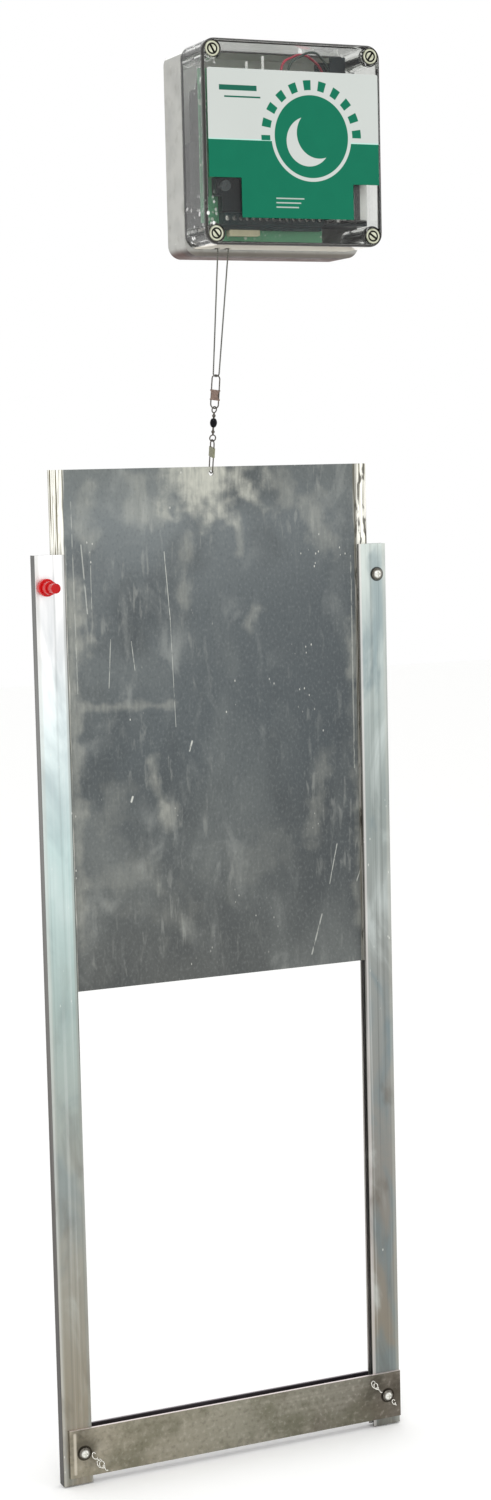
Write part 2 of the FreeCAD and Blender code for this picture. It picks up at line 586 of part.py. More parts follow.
def label_card():
    """A thin film on the lid's face, cut away at both lower corners as inspection windows."""
    left, right = BOX_LEFT + LABEL_INSET, BOX_RIGHT - LABEL_INSET
    top, bottom = BOX_TOP - LABEL_TOP_DROP, BOX_TOP - LABEL_BOTTOM_DROP
    card = rounded_slab(left, right, bottom, top, LID_FACE_Y, LID_FACE_Y - LABEL_THICK, 1.2)
    front, back = LID_FACE_Y - 1, LID_FACE_Y + 1
    left_window = block(left - 1, left + LEFT_WINDOW_WIDTH, back, front, bottom - 1,
                        bottom + LEFT_WINDOW_HEIGHT)
    right_window = block(right - RIGHT_WINDOW_WIDTH, right + 1, back, front, bottom - 1,
                         bottom + RIGHT_WINDOW_HEIGHT)
    return card.cut(left_window).cut(right_window)


# ---------------------------------------------------------------- board and what is on it
BLOCK_LEFT, BLOCK_PITCH, BLOCK_POLES = BOX_LEFT + 15.8, 4.5, 15
BLOCK_RIGHT = BLOCK_LEFT + BLOCK_PITCH * BLOCK_POLES
BLOCK_BOTTOM, BLOCK_TOP = BOX_BOTTOM + 10.3, BOX_BOTTOM + 20.3
BLOCK_FRONT_Y = -53.2
CLAMP_Z = BLOCK_TOP - 3.4
CLAMP_SHAFT = 1.6            # radius of the shaft that each clamp screw sits in
MODULE_LEFT, MODULE_RIGHT = BOX_LEFT + 11.5, BOX_LEFT + 30
MODULE_BOTTOM, MODULE_TOP = BLOCK_TOP + 0.6, BOX_BOTTOM + 41.8
MODULE_NOTCH_X, MODULE_NOTCH_Z = BOX_LEFT + 15.6, BOX_BOTTOM + 30.5
MODULE_FRONT_Y = -50.8
KNOB_X, KNOB_Z, KNOB_RADIUS = BOX_LEFT + 17.5, BOX_BOTTOM + 36.3, 3.3
KNOB_STEM = 1.5
BUTTON_X, BUTTON_Z, BUTTON_RADIUS = BOX_LEFT + 39, BOX_BOTTOM + 33.8, 1.75
BUTTON_TRAVEL = 0.6
SWITCH_HALF = 3.0
SWITCH_HEIGHT = 3.6
GUIDE_RADIUS = 0.9
GUIDE_FOOT = 2.2
GUIDES = [(BOX_LEFT + 36.2, BOX_TOP - 10.8), (BOX_LEFT + 47.2, BOX_TOP - 7.0)]
SENSOR_X, SENSOR_Z, SENSOR_RADIUS = BOX_LEFT + 41.8, BOARD_TOP - 4, 2.5
PLUG_LEFT, PLUG_RIGHT = BOX_LEFT + 53.5, BOX_LEFT + 67.5
PLUG_BOTTOM, PLUG_TOP = BOARD_TOP - 13, BOARD_TOP - 6
PLUG_WIRE_Y = -48.0
PLUG_WIRE_XS = [PLUG_LEFT + 4.5, PLUG_LEFT + 9.5]
CHIP_LEFT, CHIP_WIDTH = BOX_LEFT + 52, 10.0
CHIP_BOTTOM, CHIP_HEIGHT = BOX_BOTTOM + 50, 25.0
CHIP_LEG_PITCH = 2.54
SCREW_HOLE = 1.6             # radius of the holes for the small machine screws
ENTRY_HALF = 1.3             # half the width of a pole's wire entry
WIRE_RADIUS = 0.75


def circuit_board():
    """The green board, notched where it would meet the lid's towers."""
    board = block(BOARD_LEFT, BOARD_RIGHT, BOARD_BACK_Y, BOARD_FRONT_Y, BOARD_BOTTOM, BOARD_TOP)
    reach = TOWER_INSET + TOWER_RADIUS + 1.5
    back, front = BOARD_BACK_Y + 1, BOARD_FRONT_Y - 1
    for z0, z1 in ((BOARD_BOTTOM - 1, BOX_BOTTOM + reach), (BOX_TOP - reach, BOARD_TOP + 1)):
        board = board.cut(block(BOARD_LEFT - 1, BOX_LEFT + reach, back, front, z0, z1))
    for x, z in BOARD_SCREWS:
        board = board.cut(rod(x, z, back, front, SCREW_HOLE))
    return board


def board_standoffs():
    """Four hexagonal pillars between the base and the board."""
    pillars = []
    half = 3.4
    for x, z in BOARD_SCREWS:
        angles = [math.radians(a) for a in range(0, 360, 60)]
        corners = [Vector(x + half * math.cos(a), -BASE_BACK, z + half * math.sin(a)) for a in angles]
        face = Part.Face(Part.makePolygon(corners + corners[:1]))
        pillar = face.extrude(Vector(0, BOARD_BACK_Y + BASE_BACK, 0))
        pillars.append(pillar.cut(rod(x, z, BOARD_BACK_Y + 8, BOARD_BACK_Y - 1, 1.5)))
    return Part.makeCompound(pillars)


def terminal_xs():
    """The middle of each pole of the terminal block."""
    return [BLOCK_LEFT + BLOCK_PITCH * (i + 0.5) for i in range(BLOCK_POLES)]


def terminal_block():
    """A strip of screw terminals: a wire entry below and a screw shaft in front for each pole."""
    strip = block(BLOCK_LEFT, BLOCK_RIGHT, BOARD_FRONT_Y, BLOCK_FRONT_Y, BLOCK_BOTTOM, BLOCK_TOP)
    step = block(BLOCK_LEFT - 1, BLOCK_RIGHT + 1, BLOCK_FRONT_Y + 3, BLOCK_FRONT_Y - 1,
                 BLOCK_BOTTOM - 1, BLOCK_BOTTOM + 2.2)
    strip = strip.cut(step)
    for x in terminal_xs():
        shaft = rod(x, CLAMP_Z, BLOCK_FRONT_Y + 4, BLOCK_FRONT_Y - 1, CLAMP_SHAFT)
        entry = block(x - ENTRY_HALF, x + ENTRY_HALF, BOARD_FRONT_Y - 1.2, BOARD_FRONT_Y - 4,
                      BLOCK_BOTTOM - 1, BLOCK_BOTTOM + 3)
        strip = strip.cut(shaft).cut(entry)
    return strip


def terminal_screws():
    """The slotted clamp screws of the terminal block."""
    screws = []
    for x in terminal_xs():
        screw = rod(x, CLAMP_Z, BLOCK_FRONT_Y + 4, BLOCK_FRONT_Y + 1.2, CLAMP_SHAFT - 0.15)
        slot = block(x - 2, x + 2, BLOCK_FRONT_Y + 2, BLOCK_FRONT_Y, CLAMP_Z - 0.25, CLAMP_Z + 0.25)
        screws.append(screw.cut(slot))
    return Part.makeCompound(screws)


def control_module():
    """The dark moulded block that carries the light-level trimmer, cut away at its lower left corner."""
    body = rounded_slab(MODULE_LEFT, MODULE_RIGHT, MODULE_BOTTOM, MODULE_TOP,
                        BOARD_FRONT_Y, MODULE_FRONT_Y, 0.8)
    body = body.cut(block(MODULE_LEFT - 1, MODULE_NOTCH_X, BOARD_FRONT_Y + 1, MODULE_FRONT_Y - 1,
                          MODULE_BOTTOM - 1, MODULE_NOTCH_Z))
    return body.cut(rod(KNOB_X, KNOB_Z, MODULE_FRONT_Y + 3.0, MODULE_FRONT_Y - 1, KNOB_STEM + RUNNING_GAP))


def trimmer_knob():
    """A small slotted knob on its own stem."""
    back = MODULE_FRONT_Y - 0.3
    front = back - 2.4
    stem_end = back + 2.8
    knob = turned([(0, front), (KNOB_RADIUS - 0.4, front), (KNOB_RADIUS, front + 0.4), (KNOB_RADIUS, back),
                   (KNOB_STEM, back), (KNOB_STEM, stem_end), (0, stem_end)], KNOB_X, KNOB_Z)
    slot = block(KNOB_X - 2.4, KNOB_X + 2.4, front - 1, front + 0.9, KNOB_Z - 0.45, KNOB_Z + 0.45)
    slot.rotate(Vector(KNOB_X, 0, KNOB_Z), Vector(0, 1, 0), -50)
    return knob.cut(slot)


def button_switch():
    """The square housing of the raise-and-lower button."""
    body = block(BUTTON_X - SWITCH_HALF, BUTTON_X + SWITCH_HALF, BOARD_FRONT_Y,
                 BOARD_FRONT_Y - SWITCH_HEIGHT, BUTTON_Z - SWITCH_HALF, BUTTON_Z + SWITCH_HALF)
    bore = rod(BUTTON_X, BUTTON_Z, BOARD_FRONT_Y - 1.0, BOARD_FRONT_Y - 5, BUTTON_RADIUS + RUNNING_GAP)
    return body.cut(bore)


def push_button():
    """The round plunger, which goes in by its travel when pressed."""
    inner_end = BOARD_FRONT_Y - 1.0 - BUTTON_TRAVEL - 0.3
    return rod(BUTTON_X, BUTTON_Z, inner_end, BOARD_FRONT_Y - 6.0, BUTTON_RADIUS)


def status_leds():
    """Two indicator lamps with thin milky light guides that stand up past the board's edge."""
    lamps = []
    y = BOARD_FRONT_Y - GUIDE_FOOT / 2
    for x, top in GUIDES:
        low = BOARD_TOP - 9
        foot = block(x - 1.4, x + 1.4, BOARD_FRONT_Y, BOARD_FRONT_Y - GUIDE_FOOT, low - 3.4, low)
        guide = Part.makeCylinder(GUIDE_RADIUS, top - low, Vector(x, y, low))
        lamps.append(fuse([foot, guide]))
    return Part.makeCompound(lamps)


def light_sensor():
    """The daylight sensor, under the gap above the label."""
    rim, face = SENSOR_RADIUS, BOARD_FRONT_Y - 5.6
    outline = [(0, face), (rim * 0.65, face + 0.2), (rim, face + 1.3),
               (rim, BOARD_FRONT_Y), (0, BOARD_FRONT_Y)]
    return turned(outline, SENSOR_X, SENSOR_Z)


def battery_plug():
    """The plug-in connector of the battery leads, with its two wire holes in its upper end."""
    body = rounded_slab(PLUG_LEFT, PLUG_RIGHT, PLUG_BOTTOM, PLUG_TOP, BOARD_FRONT_Y, PLUG_WIRE_Y - 3.4, 0.5)
    for x in PLUG_WIRE_XS:
        foot = Vector(x, PLUG_WIRE_Y, PLUG_TOP - 4)
        body = body.cut(Part.makeCylinder(WIRE_RADIUS + RUNNING_GAP, 5, foot))
    return body


def power_resistor():
    """A beige ceramic resistor laid along the board just below the terminal block."""
    left, bottom = BOX_LEFT + 20.5, BLOCK_BOTTOM - 3.8
    back = BOARD_FRONT_Y - 0.6
    return rounded_slab(left, left + 20.5, bottom, bottom + 3.6, back, back - 4.8, 0.6)


def capacitor():
    """An upright electrolytic capacitor on the board."""
    top = BOARD_FRONT_Y - 8
    return turned([(0, top), (2.6, top), (3.1, top + 0.5), (3.1, BOARD_FRONT_Y), (0, BOARD_FRONT_Y)],
                  BOX_LEFT + 54, BLOCK_TOP + 3.6)


def controller_chip():
    """The flat microcontroller package with its two rows of legs."""
    right, top = CHIP_LEFT + CHIP_WIDTH, CHIP_BOTTOM + CHIP_HEIGHT
    body = block(CHIP_LEFT, right, BOARD_FRONT_Y - 0.5, BOARD_FRONT_Y - 3.5, CHIP_BOTTOM, top)
    legs = []
    for x in (CHIP_LEFT - 1.4, right - 0.1):
        for i in range(9):
            z = CHIP_BOTTOM + 2 + CHIP_LEG_PITCH * i
            legs.append(block(x, x + 1.5, BOARD_FRONT_Y, BOARD_FRONT_Y - 1.6, z - 0.25, z + 0.25))
    return fuse([body] + legs)


def battery_holder():
    """An open tray for round cells, two by two, and above it a channel for the leads, open to the left."""
    wall = HOLDER_WALL
    back, front = HOLDER_BACK_Y, HOLDER_BACK_Y - HOLDER_DEPTH
    outer = block(HOLDER_LEFT, HOLDER_RIGHT, back, front, HOLDER_BOTTOM, HOLDER_TOP)
    inner = block(HOLDER_LEFT + wall, HOLDER_RIGHT - wall, back - wall, front - 1,
                  HOLDER_BOTTOM + HOLDER_END, HOLDER_TOP - HOLDER_END)
    channel = block(CHANNEL_LEFT, CHANNEL_RIGHT, back, front, HOLDER_TOP - HOLDER_END / 2, CHANNEL_TOP)
    hollow = block(CHANNEL_LEFT - 1, CHANNEL_RIGHT - wall, back - wall, front + wall,
                   HOLDER_TOP, CHANNEL_TOP + 1)
    return fuse([outer.cut(inner), channel.cut(hollow)])


def battery_cells():
    """Four round cells with their positive caps, alternately up and down."""
    cells = []
    middle_x = (HOLDER_LEFT + HOLDER_RIGHT) / 2
    low = (HOLDER_BOTTOM + HOLDER_TOP - CELL_LENGTH) / 2
    for column, row in ((-1, 0), (1, 0), (-1, 1), (1, 1)):
        x = middle_x + column * CELL_PITCH / 2
        y = HOLDER_BACK_Y - 1.0 - CELL_RADIUS - row * CELL_PITCH
        can = Part.makeCylinder(CELL_RADIUS, CELL_LENGTH, Vector(x, y, low))
        rims = [e for e in can.Edges if abs(e.Length - 2 * math.pi * CELL_RADIUS) < 0.01]
        can = can.makeFillet(0.6, rims)
        cap_z = low + CELL_LENGTH if column > 0 else low - 1.0
        cells.append(fuse([can, Part.makeCylinder(2.6, 1.0, Vector(x, y, cap_z))]))
    return Part.makeCompound(cells)


def battery_lead(channel_y, plug_x, peak_x, peak_y, peak_z):
    """A lead up the channel, out of its open side, in an arch over the board's edge, into the plug."""
    x = CHANNEL_LEFT + 5
    return wire_route([Vector(x, channel_y, HOLDER_TOP + 0.6), Vector(x, channel_y, BOX_TOP - 20),
                       Vector(CHANNEL_LEFT, channel_y - 1, BOX_TOP - 9), Vector(peak_x, peak_y, peak_z),
                       Vector(plug_x + 2, PLUG_WIRE_Y, BOX_TOP - 10),
                       Vector(plug_x, PLUG_WIRE_Y, PLUG_TOP + 4),
                       Vector(plug_x, PLUG_WIRE_Y, PLUG_TOP - 3)], WIRE_RADIUS)


def wire_red():
    """The positive battery lead."""
    return battery_lead(-31, PLUG_WIRE_XS[0], BOX_LEFT + 76, -43, BOX_TOP - 3.0)


def wire_black():
    """The negative battery lead, which arches in front of the positive one."""
    return battery_lead(-40, PLUG_WIRE_XS[1], BOX_LEFT + 80, -50, BOX_TOP - 2.0)


def motor_wire(side):
    """A motor lead, from a motor tab forward to its solder point on the board's back."""
    x = DRUM_X + side * MOTOR_TAB_OFFSET
    start = Vector(x, (GEARBOX_BACK_Y + GEARBOX_FRONT_Y) / 2, GEARBOX_TOP + MOTOR_LENGTH + MOTOR_TAB)
    over = start + Vector(side, -3, 4)
    joint = Vector(x + 3 * side, BOARD_BACK_Y, over.z - 9)
    return wire_route([start, over, over + Vector(2 * side, -8, 0), joint + Vector(0, 6, 0), joint],
                      WIRE_RADIUS)


# ---------------------------------------------------------------- build and write
NODES = {
    "rail_left": lambda: rail(-1),
    "rail_right": lambda: rail(1),
    "bottom_bar": bottom_bar,
    "bar_screws": lambda: Part.makeCompound(
        [wall_screw(x, BAR_SCREW_Z, -RAIL_DEPTH - BAR_THICK) for x in BAR_SCREW_XS]),
    "rail_screws": lambda: Part.makeCompound(
        [wall_screw(side * TOP_SCREW_X, TOP_SCREW_Z, -RAIL_DEPTH) for side in (-1, 1)]),
    "red_screw_cap": red_screw_cap,
    "door_plate": door_plate,
    "lower_snap_wire": lambda: on_lift_line(
        oval_loop(0, LOWER_SNAP_TOP, LOWER_SNAP_HALF, SNAP_WIRE, LOWER_SNAP_ANGLE)),
    "lower_snap_sleeve": lambda: snap_sleeve(10.5, 16.6, LOWER_SNAP_HALF, LOWER_SNAP_ANGLE, 0.4),
    "swivel_lower_eye": lambda: swivel_eye(LOWER_RING_MIDDLE, LOWER_RING_RADIUS, 1, -90),
    "swivel_barrel": swivel_barrel,
    "swivel_upper_eye": lambda: swivel_eye(UPPER_RING_MIDDLE, UPPER_RING_RADIUS, -1, -70),
    "upper_snap_wire": lambda: on_lift_line(
        oval_loop(UPPER_SNAP_BOTTOM, UPPER_SNAP_TOP, UPPER_SNAP_HALF, SNAP_WIRE, UPPER_SNAP_ANGLE)),
    "upper_snap_sleeve": lambda: snap_sleeve(47.0, 53.5, UPPER_SNAP_HALF, UPPER_SNAP_ANGLE, 1.2),
    "lift_cord": lift_cord,
    "cord_inside": cord_inside,
    "cord_windings": cord_windings,
    "cord_drum": cord_drum,
    "output_shaft": output_shaft,
    "gearbox": gearbox,
    "gear_motor": gear_motor,
    "motor_bracket": motor_bracket,
    "bracket_screws": lambda: machine_screws(BRACKET_SCREWS, GEARBOX_BACK_Y, 4.2, 1.25, 2.6),
    "cord_anchor": cord_anchor,
    "box_base": box_base,
    "box_gasket": box_gasket,
    "box_lid": box_lid,
    "lid_screws": lid_screws,
    "label_card": label_card,
    "circuit_board": circuit_board,
    "board_standoffs": board_standoffs,
    "board_screws": lambda: machine_screws(BOARD_SCREWS, BOARD_FRONT_Y, 7.0, 1.5, 2.7),
    "terminal_block": terminal_block,
    "terminal_screws": terminal_screws,
    "control_module": control_module,
    "trimmer_knob": trimmer_knob,
    "button_switch": button_switch,
    "push_button": push_button,
    "status_leds": status_leds,
    "light_sensor": light_sensor,
    "battery_plug": battery_plug,
    "power_resistor": power_resistor,
    "capacitor": capacitor,
    "controller_chip": controller_chip,
    "battery_holder": battery_holder,
    "battery_cells": battery_cells,
    "wire_red": wire_red,
    "wire_black": wire_black,
    "motor_wire_green": lambda: motor_wire(-1),
    "motor_wire_red": lambda: motor_wire(1),
}

for name, make in NODES.items():
    shape = make()
    if not shape.isValid():
        raise ValueError("not a valid solid: " + name)
    shape.exportStep("parts/" + name + ".step")
    print(name, "solids", len(shape.Solids), "volume", round(shape.Volume, 1))
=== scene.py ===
"""Looks, camera and light for the automatic coop door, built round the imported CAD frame.

Metres, in the CAD frame: +X right seen from the front, +Y into the wall, +Z up.
"""
import json
import math

import bpy
from mathutils import Matrix, Vector


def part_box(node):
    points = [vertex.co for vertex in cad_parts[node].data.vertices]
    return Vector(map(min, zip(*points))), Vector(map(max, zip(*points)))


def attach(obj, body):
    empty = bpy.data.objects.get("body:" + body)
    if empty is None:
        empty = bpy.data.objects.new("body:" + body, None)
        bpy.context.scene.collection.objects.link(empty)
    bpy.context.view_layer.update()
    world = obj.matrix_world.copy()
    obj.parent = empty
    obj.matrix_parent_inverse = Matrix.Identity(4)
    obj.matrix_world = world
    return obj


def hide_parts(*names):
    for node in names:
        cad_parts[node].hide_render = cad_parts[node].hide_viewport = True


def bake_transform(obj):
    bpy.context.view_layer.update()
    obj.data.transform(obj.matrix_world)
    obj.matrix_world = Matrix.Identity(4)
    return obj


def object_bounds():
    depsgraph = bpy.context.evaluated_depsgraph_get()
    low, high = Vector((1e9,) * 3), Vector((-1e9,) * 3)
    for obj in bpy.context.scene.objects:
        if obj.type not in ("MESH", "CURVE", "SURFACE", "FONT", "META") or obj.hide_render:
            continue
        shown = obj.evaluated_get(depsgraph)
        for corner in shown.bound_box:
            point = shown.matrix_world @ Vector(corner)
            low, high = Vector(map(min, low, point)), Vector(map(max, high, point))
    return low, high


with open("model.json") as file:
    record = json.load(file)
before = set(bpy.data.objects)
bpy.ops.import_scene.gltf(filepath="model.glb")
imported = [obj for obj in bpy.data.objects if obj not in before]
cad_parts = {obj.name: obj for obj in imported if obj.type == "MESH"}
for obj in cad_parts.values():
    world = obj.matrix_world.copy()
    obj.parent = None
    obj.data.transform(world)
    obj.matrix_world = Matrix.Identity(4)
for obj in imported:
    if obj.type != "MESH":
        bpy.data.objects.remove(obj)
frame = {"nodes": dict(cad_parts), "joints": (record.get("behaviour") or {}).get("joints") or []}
cad_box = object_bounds()
nodes = frame["nodes"]
joints = {joint["name"]: joint for joint in frame["joints"]}
MM = 0.001

# ---------------------------------------------------------------- camera and light
CAMERA_PLACE = (-0.632, -1.472, 0.646)
CAMERA_YAW = 23.94           # degrees to the right of straight ahead
CAMERA_PITCH = -6.28
CAMERA_ROLL = -1.336
CAMERA_LENS = 59.73
CAMERA_SENSOR = 36.0
KEY_LIGHT = dict(place=(-0.9, -1.8, 2.4), size=1.6, power=16)
FILL_LIGHT = dict(place=(2.0, -1.6, 1.2), size=1.8, power=7)
FLOOR_HALF = 6.0
FLOOR_DROP = 0.001           # below the lowest point of the object


def rgb(red, green, blue):
    """A linear colour from display values of 0 to 255."""
    def linear(value):
        value /= 255
        return value / 12.92 if value <= 0.04045 else ((value + 0.055) / 1.055) ** 2.4
    return (linear(red), linear(green), linear(blue), 1.0)


def darker(colour, factor):
    """The same colour with less light in it."""
    return tuple(part * factor for part in colour[:3]) + (1.0,)


def place_in_scene(thing):
    """Adds an object to the scene and returns it."""
    bpy.context.scene.collection.objects.link(thing)
    return thing


def add_camera():
    """A camera at the viewing angle of the photograph."""
    yaw, pitch, roll = (math.radians(a) for a in (CAMERA_YAW, CAMERA_PITCH, CAMERA_ROLL))
    ahead = Vector((math.sin(yaw) * math.cos(pitch), math.cos(yaw) * math.cos(pitch), math.sin(pitch)))
    level = Vector((math.cos(yaw), -math.sin(yaw), 0))
    up = level.cross(ahead)
    right = math.cos(roll) * level + math.sin(roll) * up
    top = math.cos(roll) * up - math.sin(roll) * level
    data = bpy.data.cameras.new("camera")
    data.lens = CAMERA_LENS
    data.sensor_width = CAMERA_SENSOR
    camera = place_in_scene(bpy.data.objects.new("camera", data))
    turn = Matrix((right, top, -ahead)).transposed().to_4x4()
    camera.matrix_world = Matrix.Translation(CAMERA_PLACE) @ turn
    bpy.context.scene.camera = camera


def add_area_light(name, place, size, power):
    """A large soft square light that faces the middle of the object."""
    data = bpy.data.lights.new(name, "AREA")
    data.size = size
    data.energy = power
    light = place_in_scene(bpy.data.objects.new(name, data))
    target = (cad_box[0] + cad_box[1]) / 2
    aim = (target - Vector(place)).to_track_quat("-Z", "Y")
    light.matrix_world = Matrix.Translation(place) @ aim.to_matrix().to_4x4()


def add_studio():
    """White surroundings, two soft lights and a plain pale floor."""
    world = bpy.data.worlds.new("studio")
    world.use_nodes = True
    world.node_tree.nodes["Background"].inputs["Color"].default_value = (1.0, 1.0, 1.0, 1.0)
    bpy.context.scene.world = world
    bpy.context.scene.view_settings.view_transform = "Standard"
    add_area_light("key_light", **KEY_LIGHT)
    add_area_light("fill_light", **FILL_LIGHT)
    level = cad_box[0].z - FLOOR_DROP
    corners = [(x * FLOOR_HALF, y * FLOOR_HALF, level) for x, y in ((-1, -1), (1, -1), (1, 1), (-1, 1))]
    mesh = bpy.data.meshes.new("floor")
    mesh.from_pydata(corners, [], [(0, 1, 2, 3)])
    floor = place_in_scene(bpy.data.objects.new("floor", mesh))
    mesh.materials.append(Look("floor_paint", base_color=rgb(253, 253, 252), roughness=0.9).material)


# ---------------------------------------------------------------- material kit
class Look:
    """A procedural material: one Principled shader, and short calls for the nodes that feed it."""

    def __init__(self, name, **sockets):
        self.material = bpy.data.materials.new(name)
        self.material.use_nodes = True
        self.tree = self.material.node_tree
        self.shader = self.tree.nodes["Principled BSDF"]
        coordinates = self.node("TexCoord")
        self.where = coordinates.outputs["Object"]
        self.facing = coordinates.outputs["Normal"]
        self.x, self.y, self.z = (self.axis(letter) for letter in "XYZ")
        self.normal = None
        for socket, value in sockets.items():
            self.set(socket, value)

    def feed(self, socket, value):
        """Gives a socket a link or a plain value."""
        if isinstance(value, bpy.types.NodeSocket):
            self.tree.links.new(value, socket)
        else:
            socket.default_value = value

    def set(self, name, value):
        """Sets a socket of the shader, named as in base_color."""
        self.feed(self.shader.inputs[name.replace("_", " ").title().replace("Ior", "IOR")], value)

    def node(self, kind, inputs=(), **settings):
        """A new node, with (socket, value or link) pairs for its inputs."""
        made = self.tree.nodes.new("ShaderNode" + kind)
        for setting, value in settings.items():
            setattr(made, setting, value)
        for socket, value in inputs:
            self.feed(made.inputs[socket], value)
        return made

    def axis(self, letter, vector=None):
        """One coordinate, in metres."""
        return self.node("SeparateXYZ", [(0, vector or self.where)]).outputs[letter]

    def scaled(self, x, y, z):
        """The coordinates with each axis scaled: a pattern is drawn out along the smaller ones."""
        return self.node("Mapping", [("Vector", self.where), ("Scale", (x, y, z))]).outputs[0]

    def noise(self, scale, detail=3.0, vector=None, distortion=0.0):
        """Cloudy noise from 0 to 1."""
        inputs = [("Vector", vector or self.where), ("Scale", scale)]
        inputs += [("Detail", detail), ("Distortion", distortion)]
        return self.node("TexNoise", inputs).outputs[0]

    def cells(self, scale, vector=None):
        """The distance to the nearest of many scattered points."""
        inputs = [("Vector", vector or self.where), ("Scale", scale)]
        return self.node("TexVoronoi", inputs).outputs["Distance"]

    def sum(self, operation, a, b=0.0):
        """Arithmetic on two numbers."""
        return self.node("Math", [(0, a), (1, b)], operation=operation).outputs[0]

    def times(self, a, b):
        """The product of two masks or numbers."""
        return self.sum("MULTIPLY", a, b)

    def opposite(self, mask):
        """1 where the mask is 0 and 0 where it is 1."""
        return self.sum("SUBTRACT", 1.0, mask)

    def gap(self, coordinate, place):
        """The distance along one coordinate from a place."""
        return self.sum("ABSOLUTE", self.sum("SUBTRACT", coordinate, place))

    def step(self, value, low, high):
        """A smooth step from 0 at low to 1 at high; a low above high turns it round."""
        return self.node("MapRange", [("Value", value), ("From Min", low), ("From Max", high)],
                         interpolation_type="SMOOTHSTEP").outputs[0]

    def spread(self, value, low, high):
        """Noise from 0 to 1 as a number between low and high."""
        return self.node("MapRange", [("Value", value), ("From Min", 0.3), ("From Max", 0.7),
                                      ("To Min", low), ("To Max", high)]).outputs[0]

    def share(self, value, low, high):
        """A coordinate as 0 at low and 1 at high."""
        return self.node("MapRange", [("Value", value), ("From Min", low), ("From Max", high)]).outputs[0]

    def blend(self, factor, a, b):
        """Colour a where the factor is 0 and colour b where it is 1."""
        return self.node("Mix", [(0, factor), (6, a), (7, b)], data_type="RGBA").outputs[2]

    def stain(self, tone, mask, strength, colour):
        """Lays a colour over the tone where the mask is 1."""
        return self.blend(self.times(mask, strength), tone, colour)

    def ramp(self, value, *stops):
        """A colour ramp from (place, colour) stops."""
        ramp = self.node("ValToRGB", [(0, value)])
        elements = ramp.color_ramp.elements
        while len(elements) < len(stops):
            elements.new(1.0)
        for element, (place, colour) in zip(elements, stops):
            element.position = place
            element.color = colour
        return ramp.outputs[0]

    def vector_sum(self, operation, a, b):
        """Arithmetic on two vectors."""
        return self.node("VectorMath", [(0, a), (1, b)], operation=operation)

    def away_from(self, start, end):
        """The distance to a line between two (x, z) points."""
        first = Vector((start[0], 0, start[1]))
        run = Vector((end[0], 0, end[1])) - first
        flat = self.vector_sum("MULTIPLY", self.where, (1, 0, 1)).outputs[0]
        offset = self.vector_sum("SUBTRACT", flat, first).outputs[0]
        along = self.vector_sum("DOT_PRODUCT", offset, run / run.length_squared).outputs["Value"]
        nearest = self.share(along, 0.0, 1.0)
        foot = self.node("VectorMath", [(0, run), ("Scale", nearest)], operation="SCALE").outputs[0]
        return self.vector_sum("DISTANCE", offset, foot).outputs["Value"]

    def stroke(self, start, end, half_width):
        """A mask of a scratch between two (x, z) points."""
        return self.step(self.away_from(start, end), half_width * 1.4, half_width * 0.3)

    def smudge(self, start, end, half_width):
        """A mask of a cloudy wipe between two (x, z) points, strongest along its middle."""
        away = self.away_from(start, end)
        ragged = self.spread(self.noise(75, 8), -0.8 * half_width, 0.8 * half_width)
        return self.step(self.sum("ADD", away, ragged), half_width * 1.5, -half_width * 0.1)

    def disc(self, centre, radius, edge=0.1 * MM):
        """A mask of a flat disc about an (x, z) point."""
        flat = self.vector_sum("MULTIPLY", self.where, (1, 0, 1)).outputs[0]
        away = self.vector_sum("DISTANCE", flat, (centre[0], 0, centre[1])).outputs["Value"]
        return self.step(away, radius + edge, radius - edge)

    def panel(self, middle, half):
        """A mask of an upright rectangle from its middle and its half sizes, both (x, z)."""
        across = self.sum("LESS_THAN", self.gap(self.x, middle[0]), half[0])
        upward = self.sum("LESS_THAN", self.gap(self.z, middle[1]), half[1])
        return self.times(across, upward)

    def bump(self, height, depth):
        """Raised detail: depth is in metres for heights from 0 to 1."""
        inputs = [("Height", height), ("Distance", depth)]
        if self.normal:
            inputs.append(("Normal", self.normal))
        self.normal = self.node("Bump", inputs).outputs[0]
        self.set("normal", self.normal)

    def pass_light(self, tint):
        """Lets light through the clear shell to what is behind it."""
        shadow = self.node("LightPath").outputs["Is Shadow Ray"]
        open_way = self.node("BsdfTransparent", [("Color", tint)]).outputs[0]
        mixed = self.node("MixShader", [(0, shadow), (1, self.shader.outputs[0]), (2, open_way)])
        self.tree.links.new(mixed.outputs[0], self.tree.nodes["Material Output"].inputs["Surface"])


# ---------------------------------------------------------------- rails, sill and door
RAIL_SCREW_SHADE = 4.7 * MM  # radii of the rings of painted shade round the screws
SILL_SCREW_SHADE = 5.0 * MM
SILL_SHEET = 1.7 * MM        # from the sill's front to just behind its front leg
SCREW_GLINT = 2.3 * MM       # radius of the painted highlight in the middle of a screw's head
SILL_RUB = 3.6 * MM          # from the sill's left end to the rubbed line on it
DOOR_BARE = 103.2 * MM       # half width of the door inside its worn edges
MARK_COLOUR = (196, 196, 184)
SCRATCH_COLOUR = (206, 208, 200)


